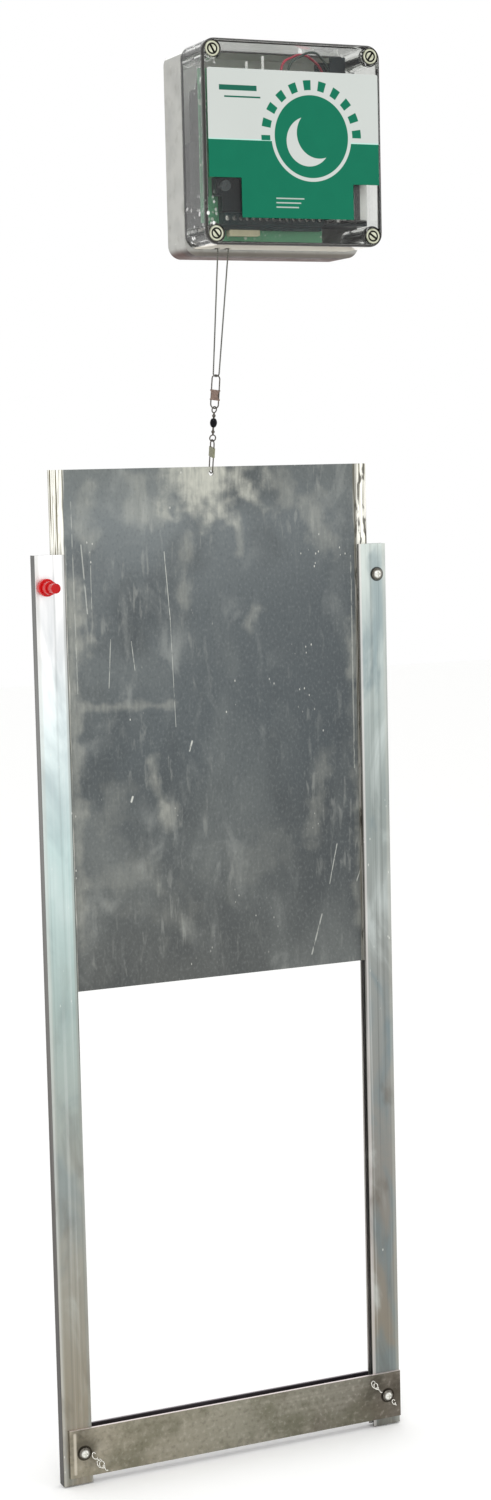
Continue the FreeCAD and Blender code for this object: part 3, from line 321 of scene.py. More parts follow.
def rail_metal(node, tones, side_tones, inner_edge_highlight, weather):
    """Mill aluminium drawn along Z, with blue-grey clouds, stains, nicks, painted highlights along its edges
    and painted shade beside the door and round the screw.

    tones and side_tones are ramp stops up the rail, for its front and for its sides; the front ramp holds
    painted reflection as well as weathering, and the side ramp is painted shade.
    """
    low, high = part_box(node)
    look = Look(node + "_aluminium", metallic=1.0)
    height = look.share(look.z, low.z, high.z)
    # front ramp up the rail: weathering with painted reflection, brightest near the top
    tone = look.ramp(height, *tones)
    inner, outer = sorted((low.x, high.x), key=abs)
    clouds = look.noise(1.0, 5, look.scaled(30, 30, 13), distortion=0.8)
    tone = look.stain(tone, look.step(clouds, 0.46, 0.66), weather, rgb(104, 126, 134))
    tone = look.stain(tone, look.step(clouds, 0.46, 0.28), weather * 0.6, rgb(232, 240, 238))
    from_outer = look.gap(look.x, outer)
    from_inner = look.gap(look.x, inner)
    # painted highlight: a pale strip along the outer edge, where the rounded edge catches the light
    tone = look.stain(tone, look.step(from_outer, 3.4 * MM, 1.6 * MM), 0.35, rgb(190, 190, 182))
    # painted highlight: a pale strip along the inner edge
    tone = look.stain(tone, look.step(from_inner, 2.6 * MM, 1.6 * MM), 0.5, inner_edge_highlight)
    # painted shade: a dark line in the fold beside the door, where the door meets the rail
    beside_door = look.step(height, 0.42, 0.5)
    fold_shade = look.times(look.step(from_inner, 0.9 * MM, 0.5 * MM), beside_door)
    tone = look.stain(tone, fold_shade, 0.7, rgb(66, 62, 56))
    streaks = look.noise(1.0, 4, look.scaled(420, 420, 2.5))
    tone = look.stain(tone, look.step(streaks, 0.5, 0.8), weather * 0.7, rgb(246, 248, 246))
    tone = look.stain(tone, look.step(streaks, 0.44, 0.25), weather * 0.7, rgb(92, 96, 94))
    grime = look.noise(1.0, 5, look.scaled(60, 60, 22), distortion=0.5)
    near_ground = look.step(height, 0.75, 0.2)
    tone = look.stain(tone, look.times(look.step(grime, 0.5, 0.72), near_ground), weather, rgb(92, 84, 74))
    nicks = look.step(look.cells(1.0, look.scaled(260, 260, 110)), 0.13, 0.05)
    nicks = look.times(nicks, look.step(look.noise(22, 2), 0.55, 0.65))
    tone = look.stain(tone, nicks, 0.6, rgb(240, 240, 234))
    # painted shade: a dark ring round the screw head
    shade = look.disc(screw_place("rail_screws", int(outer > 0)), RAIL_SCREW_SHADE)
    tone = look.stain(tone, shade, 0.85, rgb(52, 50, 48))
    # painted shade: the side faces take the darker side ramp
    sideways = look.step(look.sum("ABSOLUTE", look.axis("X", look.facing)), 0.75, 0.97)
    look.set("base_color", look.blend(sideways, tone, look.ramp(height, *side_tones)))
    look.set("roughness", look.spread(look.noise(1.0, 3, look.scaled(300, 300, 6)), 0.34, 0.48))
    look.bump(look.noise(1.0, 3, look.scaled(1500, 1500, 8)), 0.03 * MM)
    return look.material


def bar_metal():
    """The sill's duller aluminium, mottled with brown and green stains, with a painted highlight along its
    top edge and painted shade round the screws and behind its front leg.
    """
    low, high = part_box("bottom_bar")
    look = Look("bar_aluminium", metallic=1.0)
    tone = look.ramp(look.share(look.x, low.x, high.x), (0.0, rgb(156, 149, 132)), (0.5, rgb(142, 139, 125)),
                     (1.0, rgb(118, 115, 106)))
    lines = look.noise(1.0, 4, look.scaled(5, 300, 320))
    tone = look.stain(tone, look.step(lines, 0.4, 0.75), 0.2, rgb(176, 170, 158))
    stains = look.noise(34, 6, distortion=0.5)
    tone = look.stain(tone, look.step(stains, 0.45, 0.68), 0.50, rgb(94, 94, 74))
    patches = look.noise(13, 4)
    tone = look.stain(tone, look.step(patches, 0.5, 0.68), 0.55, rgb(98, 88, 80))
    blooms = look.noise(60, 5)
    tone = look.stain(tone, look.step(blooms, 0.55, 0.75), 0.26, rgb(196, 190, 176))
    pits = look.noise(330, 5)
    tone = look.stain(tone, look.step(pits, 0.52, 0.68), 0.28, rgb(84, 78, 68))
    tone = look.stain(tone, look.step(pits, 0.46, 0.32), 0.18, rgb(200, 194, 182))
    for side in (0, 1):
        screw_x, screw_z = screw_place("bar_screws", side)
        upper_left = (screw_x - 5 * MM, screw_z + 6 * MM)
        halo = look.smudge(upper_left, (screw_x + 3 * MM, screw_z + 2 * MM), 10 * MM)
        tone = look.stain(tone, halo, 0.70, rgb(56, 52, 43))
        # painted shade: a dark ring round each screw head
        shade = look.disc((screw_x, screw_z), SILL_SCREW_SHADE)
        tone = look.stain(tone, shade, 0.85, rgb(44, 40, 34))
    rubbed = look.stroke((low.x + SILL_RUB, low.z + 3 * MM), (low.x + SILL_RUB, high.z - 3 * MM), 1.1 * MM)
    tone = look.stain(tone, rubbed, 0.7, rgb(214, 206, 190))
    # painted highlight: faces that point up are pale
    upward = look.step(look.axis("Z", look.facing), 0.4, 0.8)
    tone = look.blend(upward, tone, rgb(238, 228, 226))
    # painted shade: dark purple-grey behind the front leg, in the slot
    behind = look.step(look.y, low.y + SILL_SHEET, low.y + SILL_SHEET + 0.2 * MM)
    tone = look.stain(tone, behind, 0.9, rgb(104, 98, 106))
    look.set("base_color", tone)
    look.set("roughness", look.spread(stains, 0.36, 0.55))
    look.bump(lines, 0.03 * MM)
    look.bump(look.noise(420, 3), 0.04 * MM)
    return look.material


def screw_place(node, side):
    """The (x, z) of the left (0) or right (1) screw of a pair, worked out from the pair's box."""
    low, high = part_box(node)
    radius = (high.z - low.z) / 2
    return ((low.x + radius, high.x - radius)[side], (low.z + high.z) / 2)


# Wiped places on the door, in mm from the middle of its top edge:
# (start x, start drop), (end x, end drop), half width, strength
DOOR_SMUDGES = (
    ((-8, 6), (6, 12), 21, 0.90),              # worn pale under the lifting hole
    ((-5, 12), (-11, 28), 11, 0.50),
    ((18, 30), (19, 56), 4, 0.26),
    ((70, 26), (78, 44), 11, 0.26),
    ((48, 12), (54, 24), 9, 0.24),
    ((-50, 12), (-46, 30), 10, 0.26),
    ((-84, 12), (-90, 40), 9, 0.28),
    ((-18, 43), (-22, 83), 5, 0.24),
    ((28, 92), (24, 102), 5, 0.30),
    ((-98, 78), (-96, 112), 9, 0.45),
    ((101, 108), (99, 136), 6, 0.30),
    ((-92, 149), (-32, 151), 3.0, 0.26),       # a level wipe
    ((-47, 186), (-40, 212), 4.5, 0.34),
    ((-37, 216), (-35, 225), 6, 0.36),
    ((77, 190), (66, 246), 7, 0.17),
    ((-72, 205), (-80, 225), 10, 0.14),
    ((-60, 256), (-75, 262), 15, 0.14),
    ((-36, 282), (-28, 292), 12, 0.13),
    ((10, 262), (40, 250), 16, 0.08),
    ((-99, 120), (-97, 300), 6, 0.30),         # dull bands along both channels
    ((102, 150), (101, 300), 5, 0.24),
)
# Scratches, measured in the same way
DOOR_SCRATCHES = (
    ((-34, 53), (-31, 96), 0.28, 0.65),        # one long bent scratch
    ((-31, 96), (-29, 165), 0.25, 0.50),
    ((-90, 47), (-87, 90), 0.45, 0.50),
    ((-84, 60), (-84, 92), 0.3, 0.45),
    ((-72, 107), (-74, 138), 0.3, 0.55),
    ((-58, 109), (-56, 128), 0.3, 0.60),
    ((-18, 175), (-20, 181), 0.6, 0.90),
    ((-60, 208), (-61, 211), 0.7, 0.90),
    ((84, 250), (78, 276), 0.4, 0.55),
    ((106, 256), (98, 276), 0.4, 0.55),
    ((72, 296), (64, 322), 0.5, 0.50),
    ((98, 60), (98, 200), 0.5, 0.35),
    ((-96, 20), (-95, 140), 0.4, 0.35),
)


def door_metal():
    """Dull slate-grey sheet, wiped and scratched, and worn bright where its edges run in the channels."""
    low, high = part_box("door_plate")
    look = Look("door_sheet", metallic=0.3, specular_ior_level=0.3)
    tone = look.ramp(look.share(look.z, low.z, high.z), (0.0, rgb(86, 88, 86)), (0.45, rgb(84, 90, 92)),
                     (0.72, rgb(94, 100, 102)), (0.9, rgb(116, 122, 123)), (1.0, rgb(110, 115, 114)))
    tone = look.stain(tone, look.share(look.x, -40 * MM, high.x), 0.5, rgb(58, 64, 68))
    clouds = look.noise(14, 6, look.scaled(1.0, 1.0, 0.6), distortion=0.6)
    tone = look.stain(tone, look.step(clouds, 0.46, 0.72), 0.3, rgb(142, 146, 142))
    dark = look.noise(19, 4, look.scaled(1.0, 1.0, 0.7))
    tone = look.stain(tone, look.step(dark, 0.48, 0.72), 0.5, rgb(58, 62, 64))
    dust = look.noise(48, 6, look.scaled(1.0, 1.0, 0.45), distortion=1.0)
    tone = look.stain(tone, look.times(look.step(dust, 0.5, 0.74), look.step(look.noise(9, 2), 0.4, 0.62)),
                      0.34, rgb(172, 175, 170))
    grain = look.noise(1.0, 3, look.scaled(620, 620, 420))
    tone = look.stain(tone, look.step(grain, 0.5, 0.75), 0.16, rgb(150, 154, 152))
    tone = look.stain(tone, look.step(grain, 0.46, 0.28), 0.18, rgb(44, 48, 50))
    scuffs = look.noise(1.0, 8, look.scaled(260, 260, 55), distortion=0.3)
    scuffed = look.times(look.step(scuffs, 0.56, 0.72), look.step(look.noise(13, 3), 0.42, 0.62))
    tone = look.stain(tone, scuffed, 0.30, rgb(168, 170, 164))
    worn = look.spread(look.noise(1.0, 7, look.scaled(420, 420, 70)), 0.45, 1.0)
    for start, end, half_width, strength in DOOR_SMUDGES:
        ends = [(x * MM, high.z - drop * MM) for x, drop in (start, end)]
        mark = look.times(look.smudge(*ends, half_width * MM), worn)
        tone = look.stain(tone, mark, strength, rgb(*MARK_COLOUR))
    broken = look.step(look.noise(1.0, 4, look.scaled(700, 700, 160)), 0.34, 0.52)
    for start, end, half_width, strength in DOOR_SCRATCHES:
        ends = [(x * MM, high.z - drop * MM) for x, drop in (start, end)]
        mark = look.times(look.stroke(*ends, half_width * MM), broken)
        tone = look.stain(tone, mark, strength, rgb(*SCRATCH_COLOUR))
    flecks = look.step(look.cells(1.0, look.scaled(300, 300, 150)), 0.15, 0.07)
    flecks = look.times(flecks, look.step(look.noise(24, 2), 0.58, 0.64))
    tone = look.stain(tone, flecks, 0.7, rgb(220, 220, 212))
    from_middle = look.sum("ABSOLUTE", look.x)
    fray = look.times(look.noise(1.0, 4, look.scaled(900, 900, 45)), 3 * MM)
    edge = look.step(look.sum("ADD", from_middle, fray), DOOR_BARE - 1.6 * MM, DOOR_BARE)
    scored = look.noise(1.0, 3, look.scaled(1300, 1300, 14))
    bare = look.blend(look.step(scored, 0.46, 0.6), rgb(248, 247, 238), rgb(112, 106, 84))
    chipped = look.step(look.noise(1.0, 4, look.scaled(500, 500, 90)), 0.54, 0.62)
    right_half = look.step(look.x, -1 * MM, 1 * MM)
    chip_strength = look.sum("ADD", look.times(right_half, 0.6), 0.25)
    bare = look.stain(bare, look.times(chipped, chip_strength), 1.0, rgb(62, 60, 52))
    # painted shade: a dark line along the door's innermost right edge, where it runs into the rail
    inmost = look.step(from_middle, DOOR_BARE + 0.2 * MM, DOOR_BARE - 0.6 * MM)
    shaded = look.times(inmost, look.step(right_half, 0.4, 0.6))
    bare = look.stain(bare, shaded, 0.6, rgb(70, 68, 60))
    look.set("base_color", look.blend(edge, tone, bare))
    look.set("roughness", look.spread(clouds, 0.42, 0.6))
    look.bump(look.noise(1.0, 3, look.scaled(900, 900, 30)), 0.04 * MM)
    return look.material


def wall_screw_metal(node):
    """Zinc-plated screws with fine marks: a painted highlight in the middle of each head, darker grey
    elsewhere.
    """
    look = Look(node + "_zinc", metallic=1.0)
    marks = look.noise(900, 3)
    tone = look.blend(look.step(marks, 0.4, 0.7), rgb(118, 114, 106), rgb(84, 80, 72))
    for side in (0, 1):
        screw_x, screw_z = screw_place(node, side)
        # painted highlight: a bright disc in the middle of each head
        glint = look.disc((screw_x - 0.3 * MM, screw_z), SCREW_GLINT, 0.7 * MM)
        tone = look.stain(tone, glint, 0.95, rgb(240, 240, 234))
    look.set("base_color", tone)
    look.set("roughness", look.spread(marks, 0.2, 0.34))
    look.bump(marks, 0.04 * MM)
    return look.material


# ---------------------------------------------------------------- plain finishes
def plain_metal(name, colour, roughness, grain=1200, depth=0.02 * MM):
    """A metal with small uneven marks."""
    look = Look(name, metallic=1.0)
    marks = look.noise(grain, 3)
    look.set("base_color", look.blend(look.step(marks, 0.4, 0.75), colour, darker(colour, 0.6)))
    look.set("roughness", look.spread(marks, roughness * 0.8, roughness * 1.3))
    look.bump(marks, depth)
    return look.material


def plain_plastic(name, colour, roughness, grain=2500, depth=0.02 * MM, mottle=0.12, **sockets):
    """A moulded plastic with a fine grain and slightly uneven colour."""
    look = Look(name, **sockets)
    cloud = look.noise(60, 4)
    look.set("base_color", look.blend(look.step(cloud, 0.35, 0.75), colour, darker(colour, 1 - mottle * 2)))
    look.set("roughness", look.spread(cloud, roughness * 0.9, roughness * 1.15))
    look.bump(look.noise(grain, 2), depth)
    return look.material


# ---------------------------------------------------------------- winder box
BASE_LIP = 4.0 * MM          # how far the base hangs below the lid
LID_RIM = 3.0 * MM           # depth of the band of painted shade along the lid's front edges
SCREW_CUT = 0.6 * MM         # depth of the slot and ring in a lid screw's head


def base_plastic():
    """The base's weathered grey plastic, with painted shade underneath, browner towards the wall, and on its
    lip, and painted light making it pale inside near the top.
    """
    low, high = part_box("box_base")
    look = Look("box_grey", specular_ior_level=0.3)
    tone = look.blend(look.step(look.noise(70, 4), 0.35, 0.75), rgb(177, 177, 172), rgb(164, 164, 160))
    dirt = look.noise(120, 5)
    tone = look.stain(tone, look.step(dirt, 0.52, 0.75), 0.3, rgb(120, 116, 108))
    chalk = look.step(look.cells(260), 0.12, 0.05)
    chalk = look.times(chalk, look.step(look.noise(40, 2), 0.5, 0.6))
    tone = look.stain(tone, chalk, 0.7, rgb(230, 230, 226))
    # painted shade: a dark band on the front of the lip
    lip = look.step(look.z, low.z + BASE_LIP, low.z + 1.5 * MM)
    forward = look.step(look.axis("Y", look.facing), -0.8, -0.95)
    tone = look.stain(tone, look.times(lip, forward), 0.85, rgb(96, 90, 84))
    # painted light: the inside near the top is made almost white
    middle = (low + high) / 2
    inner_half = ((high.x - low.x) / 2 - 0.9 * MM, (high.z - low.z) / 2 - 0.9 * MM)
    inside = look.panel((middle.x, middle.z), inner_half)
    inside = look.times(inside, look.step(look.z, middle.z, middle.z + 30 * MM))
    inside = look.times(inside, look.step(look.y, high.y - 1.0 * MM, high.y - 1.6 * MM))
    tone = look.stain(tone, inside, 1.0, rgb(250, 252, 248))
    # painted shade: faces that point down are dark brown, browner towards the wall
    downward = look.step(look.axis("Z", look.facing), -0.3, -0.8)
    downward = look.times(downward, look.opposite(inside))
    to_wall = look.step(look.y, low.y + 2 * MM, low.y + 14 * MM)
    below = look.blend(to_wall, rgb(58, 46, 42), rgb(80, 56, 50))
    tone = look.blend(downward, tone, below)
    look.set("base_color", tone)
    look.set("roughness", look.spread(dirt, 0.42, 0.62))
    look.bump(look.noise(1800, 2), 0.05 * MM)
    return look.material


def clear_plastic():
    """The lid's lightly smoked plastic, with painted shade along its front edges, painted light on its
    underside and painted glints near the left side.
    """
    low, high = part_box("box_lid")
    look = Look("clear_lid", ior=1.34)
    film = look.noise(28, 4)
    tint = look.blend(look.step(film, 0.4, 0.7), (0.88, 0.885, 0.87, 1.0), (0.81, 0.82, 0.80, 1.0))
    from_front = look.sum("ABSOLUTE", look.axis("Y", look.facing))
    turned_away = look.step(from_front, 0.97, 0.8)
    # painted shade: a dark band on the edge faces near the front
    front_edge = look.times(turned_away, look.step(look.y, low.y + LID_RIM + 1.4 * MM, low.y + LID_RIM))
    tint = look.stain(tint, front_edge, 0.95, rgb(40, 35, 30))
    # painted light: the underside behind the rim is near-white and less clear
    downward = look.step(look.axis("Z", look.facing), -0.85, -0.97)
    outside = look.step(look.z, low.z + 1.2 * MM, low.z + 0.6 * MM)
    behind_rim = look.step(look.y, low.y + LID_RIM + 0.4 * MM, low.y + LID_RIM + 1.4 * MM)
    painted_underside_light = look.times(look.times(downward, outside), behind_rim)
    tint = look.stain(tint, painted_underside_light, 1.0, rgb(246, 240, 226))

    # painted glints: white specks on the lid's left side
    lid_glints = look.step(look.cells(1.0, look.scaled(260, 190, 190)), 0.30, 0.16)
    lid_glints = look.times(lid_glints, look.step(look.noise(60, 2), 0.46, 0.54))
    left_side = look.step(look.x, low.x + 12 * MM, low.x + 4 * MM)
    near_corner = look.step(look.gap(look.z, (low.z + high.z) / 2), 22 * MM, 50 * MM)
    lid_glints = look.times(look.times(lid_glints, near_corner), left_side)
    look.set("base_color", look.stain(tint, lid_glints, 1.0, rgb(252, 252, 250)))
    clear = look.opposite(look.times(lid_glints, 0.85))
    clear = look.sum("SUBTRACT", clear, look.times(painted_underside_light, 0.95))
    look.set("transmission_weight", look.sum("SUBTRACT", clear, look.times(front_edge, 0.5)))
    scuffs = look.step(look.noise(1.0, 4, look.scaled(160, 160, 30)), 0.56, 0.74)
    look.set("roughness", look.spread(look.sum("ADD", look.times(scuffs, 0.3), 0.3), 0.03, 0.16))
    look.bump(look.noise(45, 2), 0.08 * MM)
    look.pass_light((0.9, 0.91, 0.9, 1.0))
    return look.material


def screw_plastic():
    """Ivory plastic with painted shade in the ring and in the slot of each head."""
    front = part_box("lid_screws")[0].y
    look = Look("ivory_plastic", specular_ior_level=0.4)
    speck = look.noise(260, 4)
    tone = look.blend(look.step(speck, 0.4, 0.75), rgb(198, 200, 178), rgb(164, 166, 142))
    # painted shade: near-black deep in the slot and ring
    recess_shade = look.step(look.y, front + SCREW_CUT / 4, front + SCREW_CUT)
    look.set("base_color", look.stain(tone, recess_shade, 1.0, rgb(24, 23, 16)))
    look.set("roughness", look.spread(speck, 0.3, 0.45))
    look.bump(look.noise(1500, 2), 0.02 * MM)
    return look.material


SUN_PLACE = (0.60, 0.56)     # share of the label's width and height
SUN_RADIUS = 25 * MM
SUN_RIM = 2.2 * MM
SUN_RAYS = 20
RAY_START = 3 * MM           # both measured from the sun's edge
RAY_LENGTH = 9 * MM
MOON_RADIUS = 15 * MM
MOON_BITE = 7 * MM           # how far the crescent's inner circle is moved sideways
HORIZON = 0.525              # share of the label's height
# The dark rules: (share of the width and height), (half sizes in mm)
UPPER_RULES = (((0.175, 0.87), (12.5, 1.6)), ((0.20, 0.81), (12, 0.5)))
# The pale rules: share of the height, half width in mm; they start at one share of the width
LOWER_RULES = ((0.135, 9.5), (0.105, 8.4), (0.075, 7.6))
LOWER_RULES_START = 0.385


def label_print():
    """Two-colour film: pale above and green below, with a plain sun and moon and a few plain rules."""
    low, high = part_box("label_card")
    size = high - low
    look = Look("label_film", specular_ior_level=0.15)
    paper = look.blend(look.noise(20, 2), rgb(193, 198, 194), rgb(186, 191, 187))
    ink = look.blend(look.noise(90, 3), rgb(0, 102, 76), rgb(0, 108, 80))

    def spot(across, up):
        """A point of the label, from shares of its width and height."""
        return (low.x + across * size.x, low.z + up * size.z)

    horizon = low.z + HORIZON * size.z
    below = look.step(look.z, horizon + 0.15 * MM, horizon - 0.15 * MM)
    above = look.opposite(below)
    tone = look.blend(below, paper, ink)
    seam_and_glint = look.panel((low.x + size.x / 2, horizon), (size.x, 0.35 * MM))
    tone = look.blend(seam_and_glint, tone, rgb(176, 214, 204))

    sun = spot(*SUN_PLACE)
    from_x = look.sum("SUBTRACT", look.x, sun[0])
    from_z = look.sum("SUBTRACT", look.z, sun[1])
    turn = look.sum("ARCTAN2", from_z, from_x)
    wedge = look.step(look.sum("SINE", look.times(turn, SUN_RAYS)), -0.1, 0.1)
    inside_ring = look.disc(sun, SUN_RADIUS + RAY_START)
    ring = look.times(look.disc(sun, SUN_RADIUS + RAY_LENGTH), look.opposite(inside_ring))
    tone = look.blend(look.times(look.times(ring, wedge), above), tone, ink)
    tone = look.blend(look.disc(sun, SUN_RADIUS + SUN_RIM), tone, paper)
    tone = look.blend(look.disc(sun, SUN_RADIUS), tone, ink)
    moon = (sun[0] - 2 * MM, sun[1] - 3 * MM)
    bite = look.disc((moon[0] + MOON_BITE, moon[1] + MOON_BITE * 0.7), MOON_RADIUS)
    crescent = look.times(look.disc(moon, MOON_RADIUS), look.opposite(bite))
    tone = look.blend(crescent, tone, paper)

    for middle, half in UPPER_RULES:
        rule = look.panel(spot(*middle), (half[0] * MM, half[1] * MM))
        tone = look.blend(rule, tone, rgb(20, 92, 74))
    for row, half_width in LOWER_RULES:
        start = spot(LOWER_RULES_START, row)
        rule = look.panel((start[0] + half_width * MM, start[1]), (half_width * MM, 0.4 * MM))
        tone = look.stain(tone, rule, 0.75, paper)
    look.set("base_color", tone)
    look.set("roughness", look.spread(look.noise(90, 3), 0.3, 0.42))
    look.bump(look.noise(600, 2), 0.01 * MM)
    return look.material


def board_green():
    """Green solder mask with lighter tracks and bright solder joints."""
    look = Look("board_green", specular_ior_level=0.4)
    tone = look.blend(look.step(look.noise(90, 3), 0.35, 0.7), rgb(20, 128, 82), rgb(34, 146, 98))
    layout = [("Vector", look.scaled(1, 0, 1)), ("Scale", 130.0), ("Mortar Size", 0.03)]
    layout += [("Color1", (0, 0, 0, 1)), ("Color2", (0, 0, 0, 1)), ("Mortar", (1, 1, 1, 1))]
    tracks = look.node("TexBrick", layout).outputs[0]
    tone = look.stain(tone, tracks, 0.45, rgb(110, 160, 124))
    solder = look.times(look.step(look.cells(230), 0.3, 0.2), look.step(look.noise(60, 2), 0.46, 0.56))
    tone = look.stain(tone, solder, 0.8, rgb(206, 214, 202))
    look.set("base_color", tone)
    look.set("roughness", look.spread(look.noise(90, 3), 0.3, 0.45))
    look.bump(look.sum("MAXIMUM", solder, look.times(tracks, 0.2)), 0.2 * MM)
    return look.material


def cell_wrap():
    """Cells with a glossy wrap: black on the side towards the board, white on the other, with a painted
    highlight line on the black side.
    """
    look = Look("cell_wrap", coat_weight=0.5, coat_roughness=0.05)
    side = look.step(look.axis("X", look.facing), -0.12, -0.06)
    tone = look.blend(side, rgb(20, 21, 23), rgb(206, 207, 204))
    # painted highlight: a pale line down the black side
    seam_and_glint = look.step(look.sum("ABSOLUTE", look.sum("ADD", look.axis("X", look.facing), 0.55)), 0.05, 0.02)
    tone = look.stain(tone, seam_and_glint, 0.5, rgb(190, 192, 190))
    look.set("base_color", tone)
    look.set("roughness", look.spread(look.noise(80, 3), 0.12, 0.2))
    look.bump(look.noise(500, 2), 0.02 * MM)
    return look.material


def cord_braid():
    """Fine grey braided line."""
    look = Look("cord", roughness=0.75)
    waves = [("Vector", look.scaled(700, 700, 700)), ("Scale", 1.0), ("Distortion", 1.0)]
    twist = look.node("TexWave", waves, bands_direction="DIAGONAL").outputs[0]
    look.set("base_color", look.blend(twist, rgb(66, 66, 62), rgb(124, 124, 118)))
    look.bump(twist, 0.1 * MM)
    return look.material


# ---------------------------------------------------------------- finishes of the carried-over nodes
def dress(material, *names):
    """Gives CAD nodes their material."""
    for name in names:
        slots = nodes[name].data.materials
        slots.clear()
        slots.append(material)


def dress_rails():
    """The two rails, which caught the weather and the light differently: their front ramps hold painted
    reflection and their side ramps painted shade.
    """
    # front ramps: weathering with painted reflection, white near the top of the left rail; side ramps:
    # painted shade
    left_tones = ((0.094, rgb(147, 140, 125)), (0.315, rgb(158, 159, 152)), (0.53, rgb(168, 184, 180)),
                  (0.69, rgb(194, 214, 212)), (0.83, rgb(240, 250, 250)), (0.90, rgb(255, 255, 255)))
    right_tones = ((0.087, rgb(134, 127, 114)), (0.26, rgb(134, 131, 125)), (0.49, rgb(144, 147, 144)),
                   (0.72, rgb(148, 156, 153)), (0.885, rgb(186, 196, 193)), (0.98, rgb(206, 214, 209)))
    left_side = ((0.0, rgb(58, 55, 52)), (0.35, rgb(84, 80, 76)), (0.6, rgb(108, 107, 104)),
                 (0.85, rgb(124, 124, 122)), (1.0, rgb(98, 98, 96)))
    right_side = ((0.0, rgb(104, 100, 94)), (0.35, rgb(126, 122, 116)), (0.6, rgb(112, 112, 110)))
    dress(rail_metal("rail_left", left_tones, left_side, rgb(152, 154, 148), 0.36), "rail_left")
    dress(rail_metal("rail_right", right_tones, right_side, rgb(226, 220, 216), 0.55), "rail_right")


def dress_everything():
    """One procedural material for every CAD node."""
    dress_rails()
    bright = plain_metal("bright_steel", rgb(226, 226, 220), 0.22)
    black = plain_plastic("black_plastic", rgb(8, 26, 31), 0.4, specular_ior_level=0.2)
    teal = plain_plastic("terminal_green", rgb(8, 40, 42), 0.4, specular_ior_level=0.2)
    dress(bar_metal(), "bottom_bar")
    dress(door_metal(), "door_plate")
    dress(wall_screw_metal("bar_screws"), "bar_screws")
    dress(wall_screw_metal("rail_screws"), "rail_screws")
    dress(bright, "terminal_screws", "bracket_screws", "board_screws", "output_shaft")
    dress(plain_metal("fitting_wire", rgb(98, 94, 88), 0.35), "lower_snap_wire", "upper_snap_wire",
          "swivel_lower_eye", "swivel_upper_eye")
    dress(plain_metal("fitting_sleeve_brown", rgb(142, 122, 112), 0.4), "upper_snap_sleeve")
    dress(plain_metal("fitting_sleeve_green", rgb(140, 140, 118), 0.4), "lower_snap_sleeve")
    dress(plain_metal("black_nickel", rgb(30, 30, 32), 0.15), "swivel_barrel")
    dress(plain_metal("gearbox_metal", rgb(120, 120, 122), 0.45), "gearbox", "gear_motor", "motor_bracket")
    dress(plain_metal("brass_pillar", rgb(200, 180, 120), 0.3), "board_standoffs")
    dress(plain_plastic("red_plastic", rgb(196, 8, 14), 0.24, specular_ior_level=0.3), "red_screw_cap")
    dress(base_plastic(), "box_base")
    dress(plain_plastic("gasket_rubber", rgb(46, 44, 42), 0.7), "box_gasket")
    dress(clear_plastic(), "box_lid")
    dress(screw_plastic(), "lid_screws")
    dress(label_print(), "label_card")
    dress(board_green(), "circuit_board")
    dress(black, "control_module", "battery_holder", "controller_chip", "button_switch", "capacitor")
    dress(plain_plastic("lead_grey", rgb(52, 70, 64), 0.45), "wire_black")
    dress(teal, "terminal_block")
    dress(plain_plastic("knob_plastic", rgb(84, 96, 98), 0.45), "trimmer_knob", "push_button")
    dress(plain_plastic("milky_lamp", rgb(250, 250, 248), 0.3, mottle=0.02), "status_leds", "light_sensor")
    dress(plain_plastic("blue_plastic", rgb(40, 52, 110), 0.4), "battery_plug")
    dress(plain_plastic("beige_ceramic", rgb(214, 206, 172), 0.7), "power_resistor")
    dress(cell_wrap(), "battery_cells")
    dress(plain_plastic("red_wire", rgb(190, 44, 72), 0.4), "wire_red", "motor_wire_red")
    dress(plain_plastic("green_wire", rgb(30, 120, 66), 0.4), "motor_wire_green")
    dress(plain_plastic("drum_plastic", rgb(220, 220, 214), 0.45), "cord_drum", "cord_anchor")
    dress(cord_braid(), "cord_inside", "cord_windings")


# ---------------------------------------------------------------- lift cord and swarf
CORD_RADIUS = 0.45 * MM
CORD_SIDES = 12
CORD_TURN_RADIUS = 2.0 * MM
CORD_CLEARANCE = 0.05 * MM
SNAP_WIRE = 0.42 * MM
SNAP_TOP = 63.0 * MM         # upper end of the upper snap, from the door's hole along the pull
TURN_STEPS = 16              # rings of vertices round the upper snap
TWIST_LENGTH = 14.0 * MM     # length of each strand's end that belongs to the piece round the upper snap
TWIST_STEPS = 8
CURL_RADIUS = 0.34 * MM
CURL_STEPS = 14              # rings of vertices in one turn of a curl
CURL_SIDES = 6
CURL_OFF_SILL = 2.4 * MM     # from the sill's front to the middle of a curl


def ring_tube(name, points, radius, sides=CORD_SIDES):
    """A tube with one ring of vertices at each point and flat ends."""
    vertices, faces = [], []
    side = None
    for i, point in enumerate(points):
        before, after = points[max(i - 1, 0)], points[min(i + 1, len(points) - 1)]
        heading = (after - before).normalized()
        side = heading.orthogonal() if side is None else side - heading * side.dot(heading)
        side.normalize()
        across = heading.cross(side)
        for k in range(sides):
            angle = 2 * math.pi * k / sides
            vertices.append(point + radius * (math.cos(angle) * side + math.sin(angle) * across))
    for i in range(len(points) - 1):
        for k in range(sides):
            a, b = i * sides + k, i * sides + (k + 1) % sides
            faces.append((a, b, b + sides, a + sides))
    faces.append(tuple(reversed(range(sides))))
    faces.append(tuple(range((len(points) - 1) * sides, len(points) * sides)))
    mesh = bpy.data.meshes.new(name)
    mesh.from_pydata(vertices, [], faces)
    mesh.polygons.foreach_set("use_smooth", [True] * len(faces))
    return place_in_scene(bpy.data.objects.new(name, mesh))


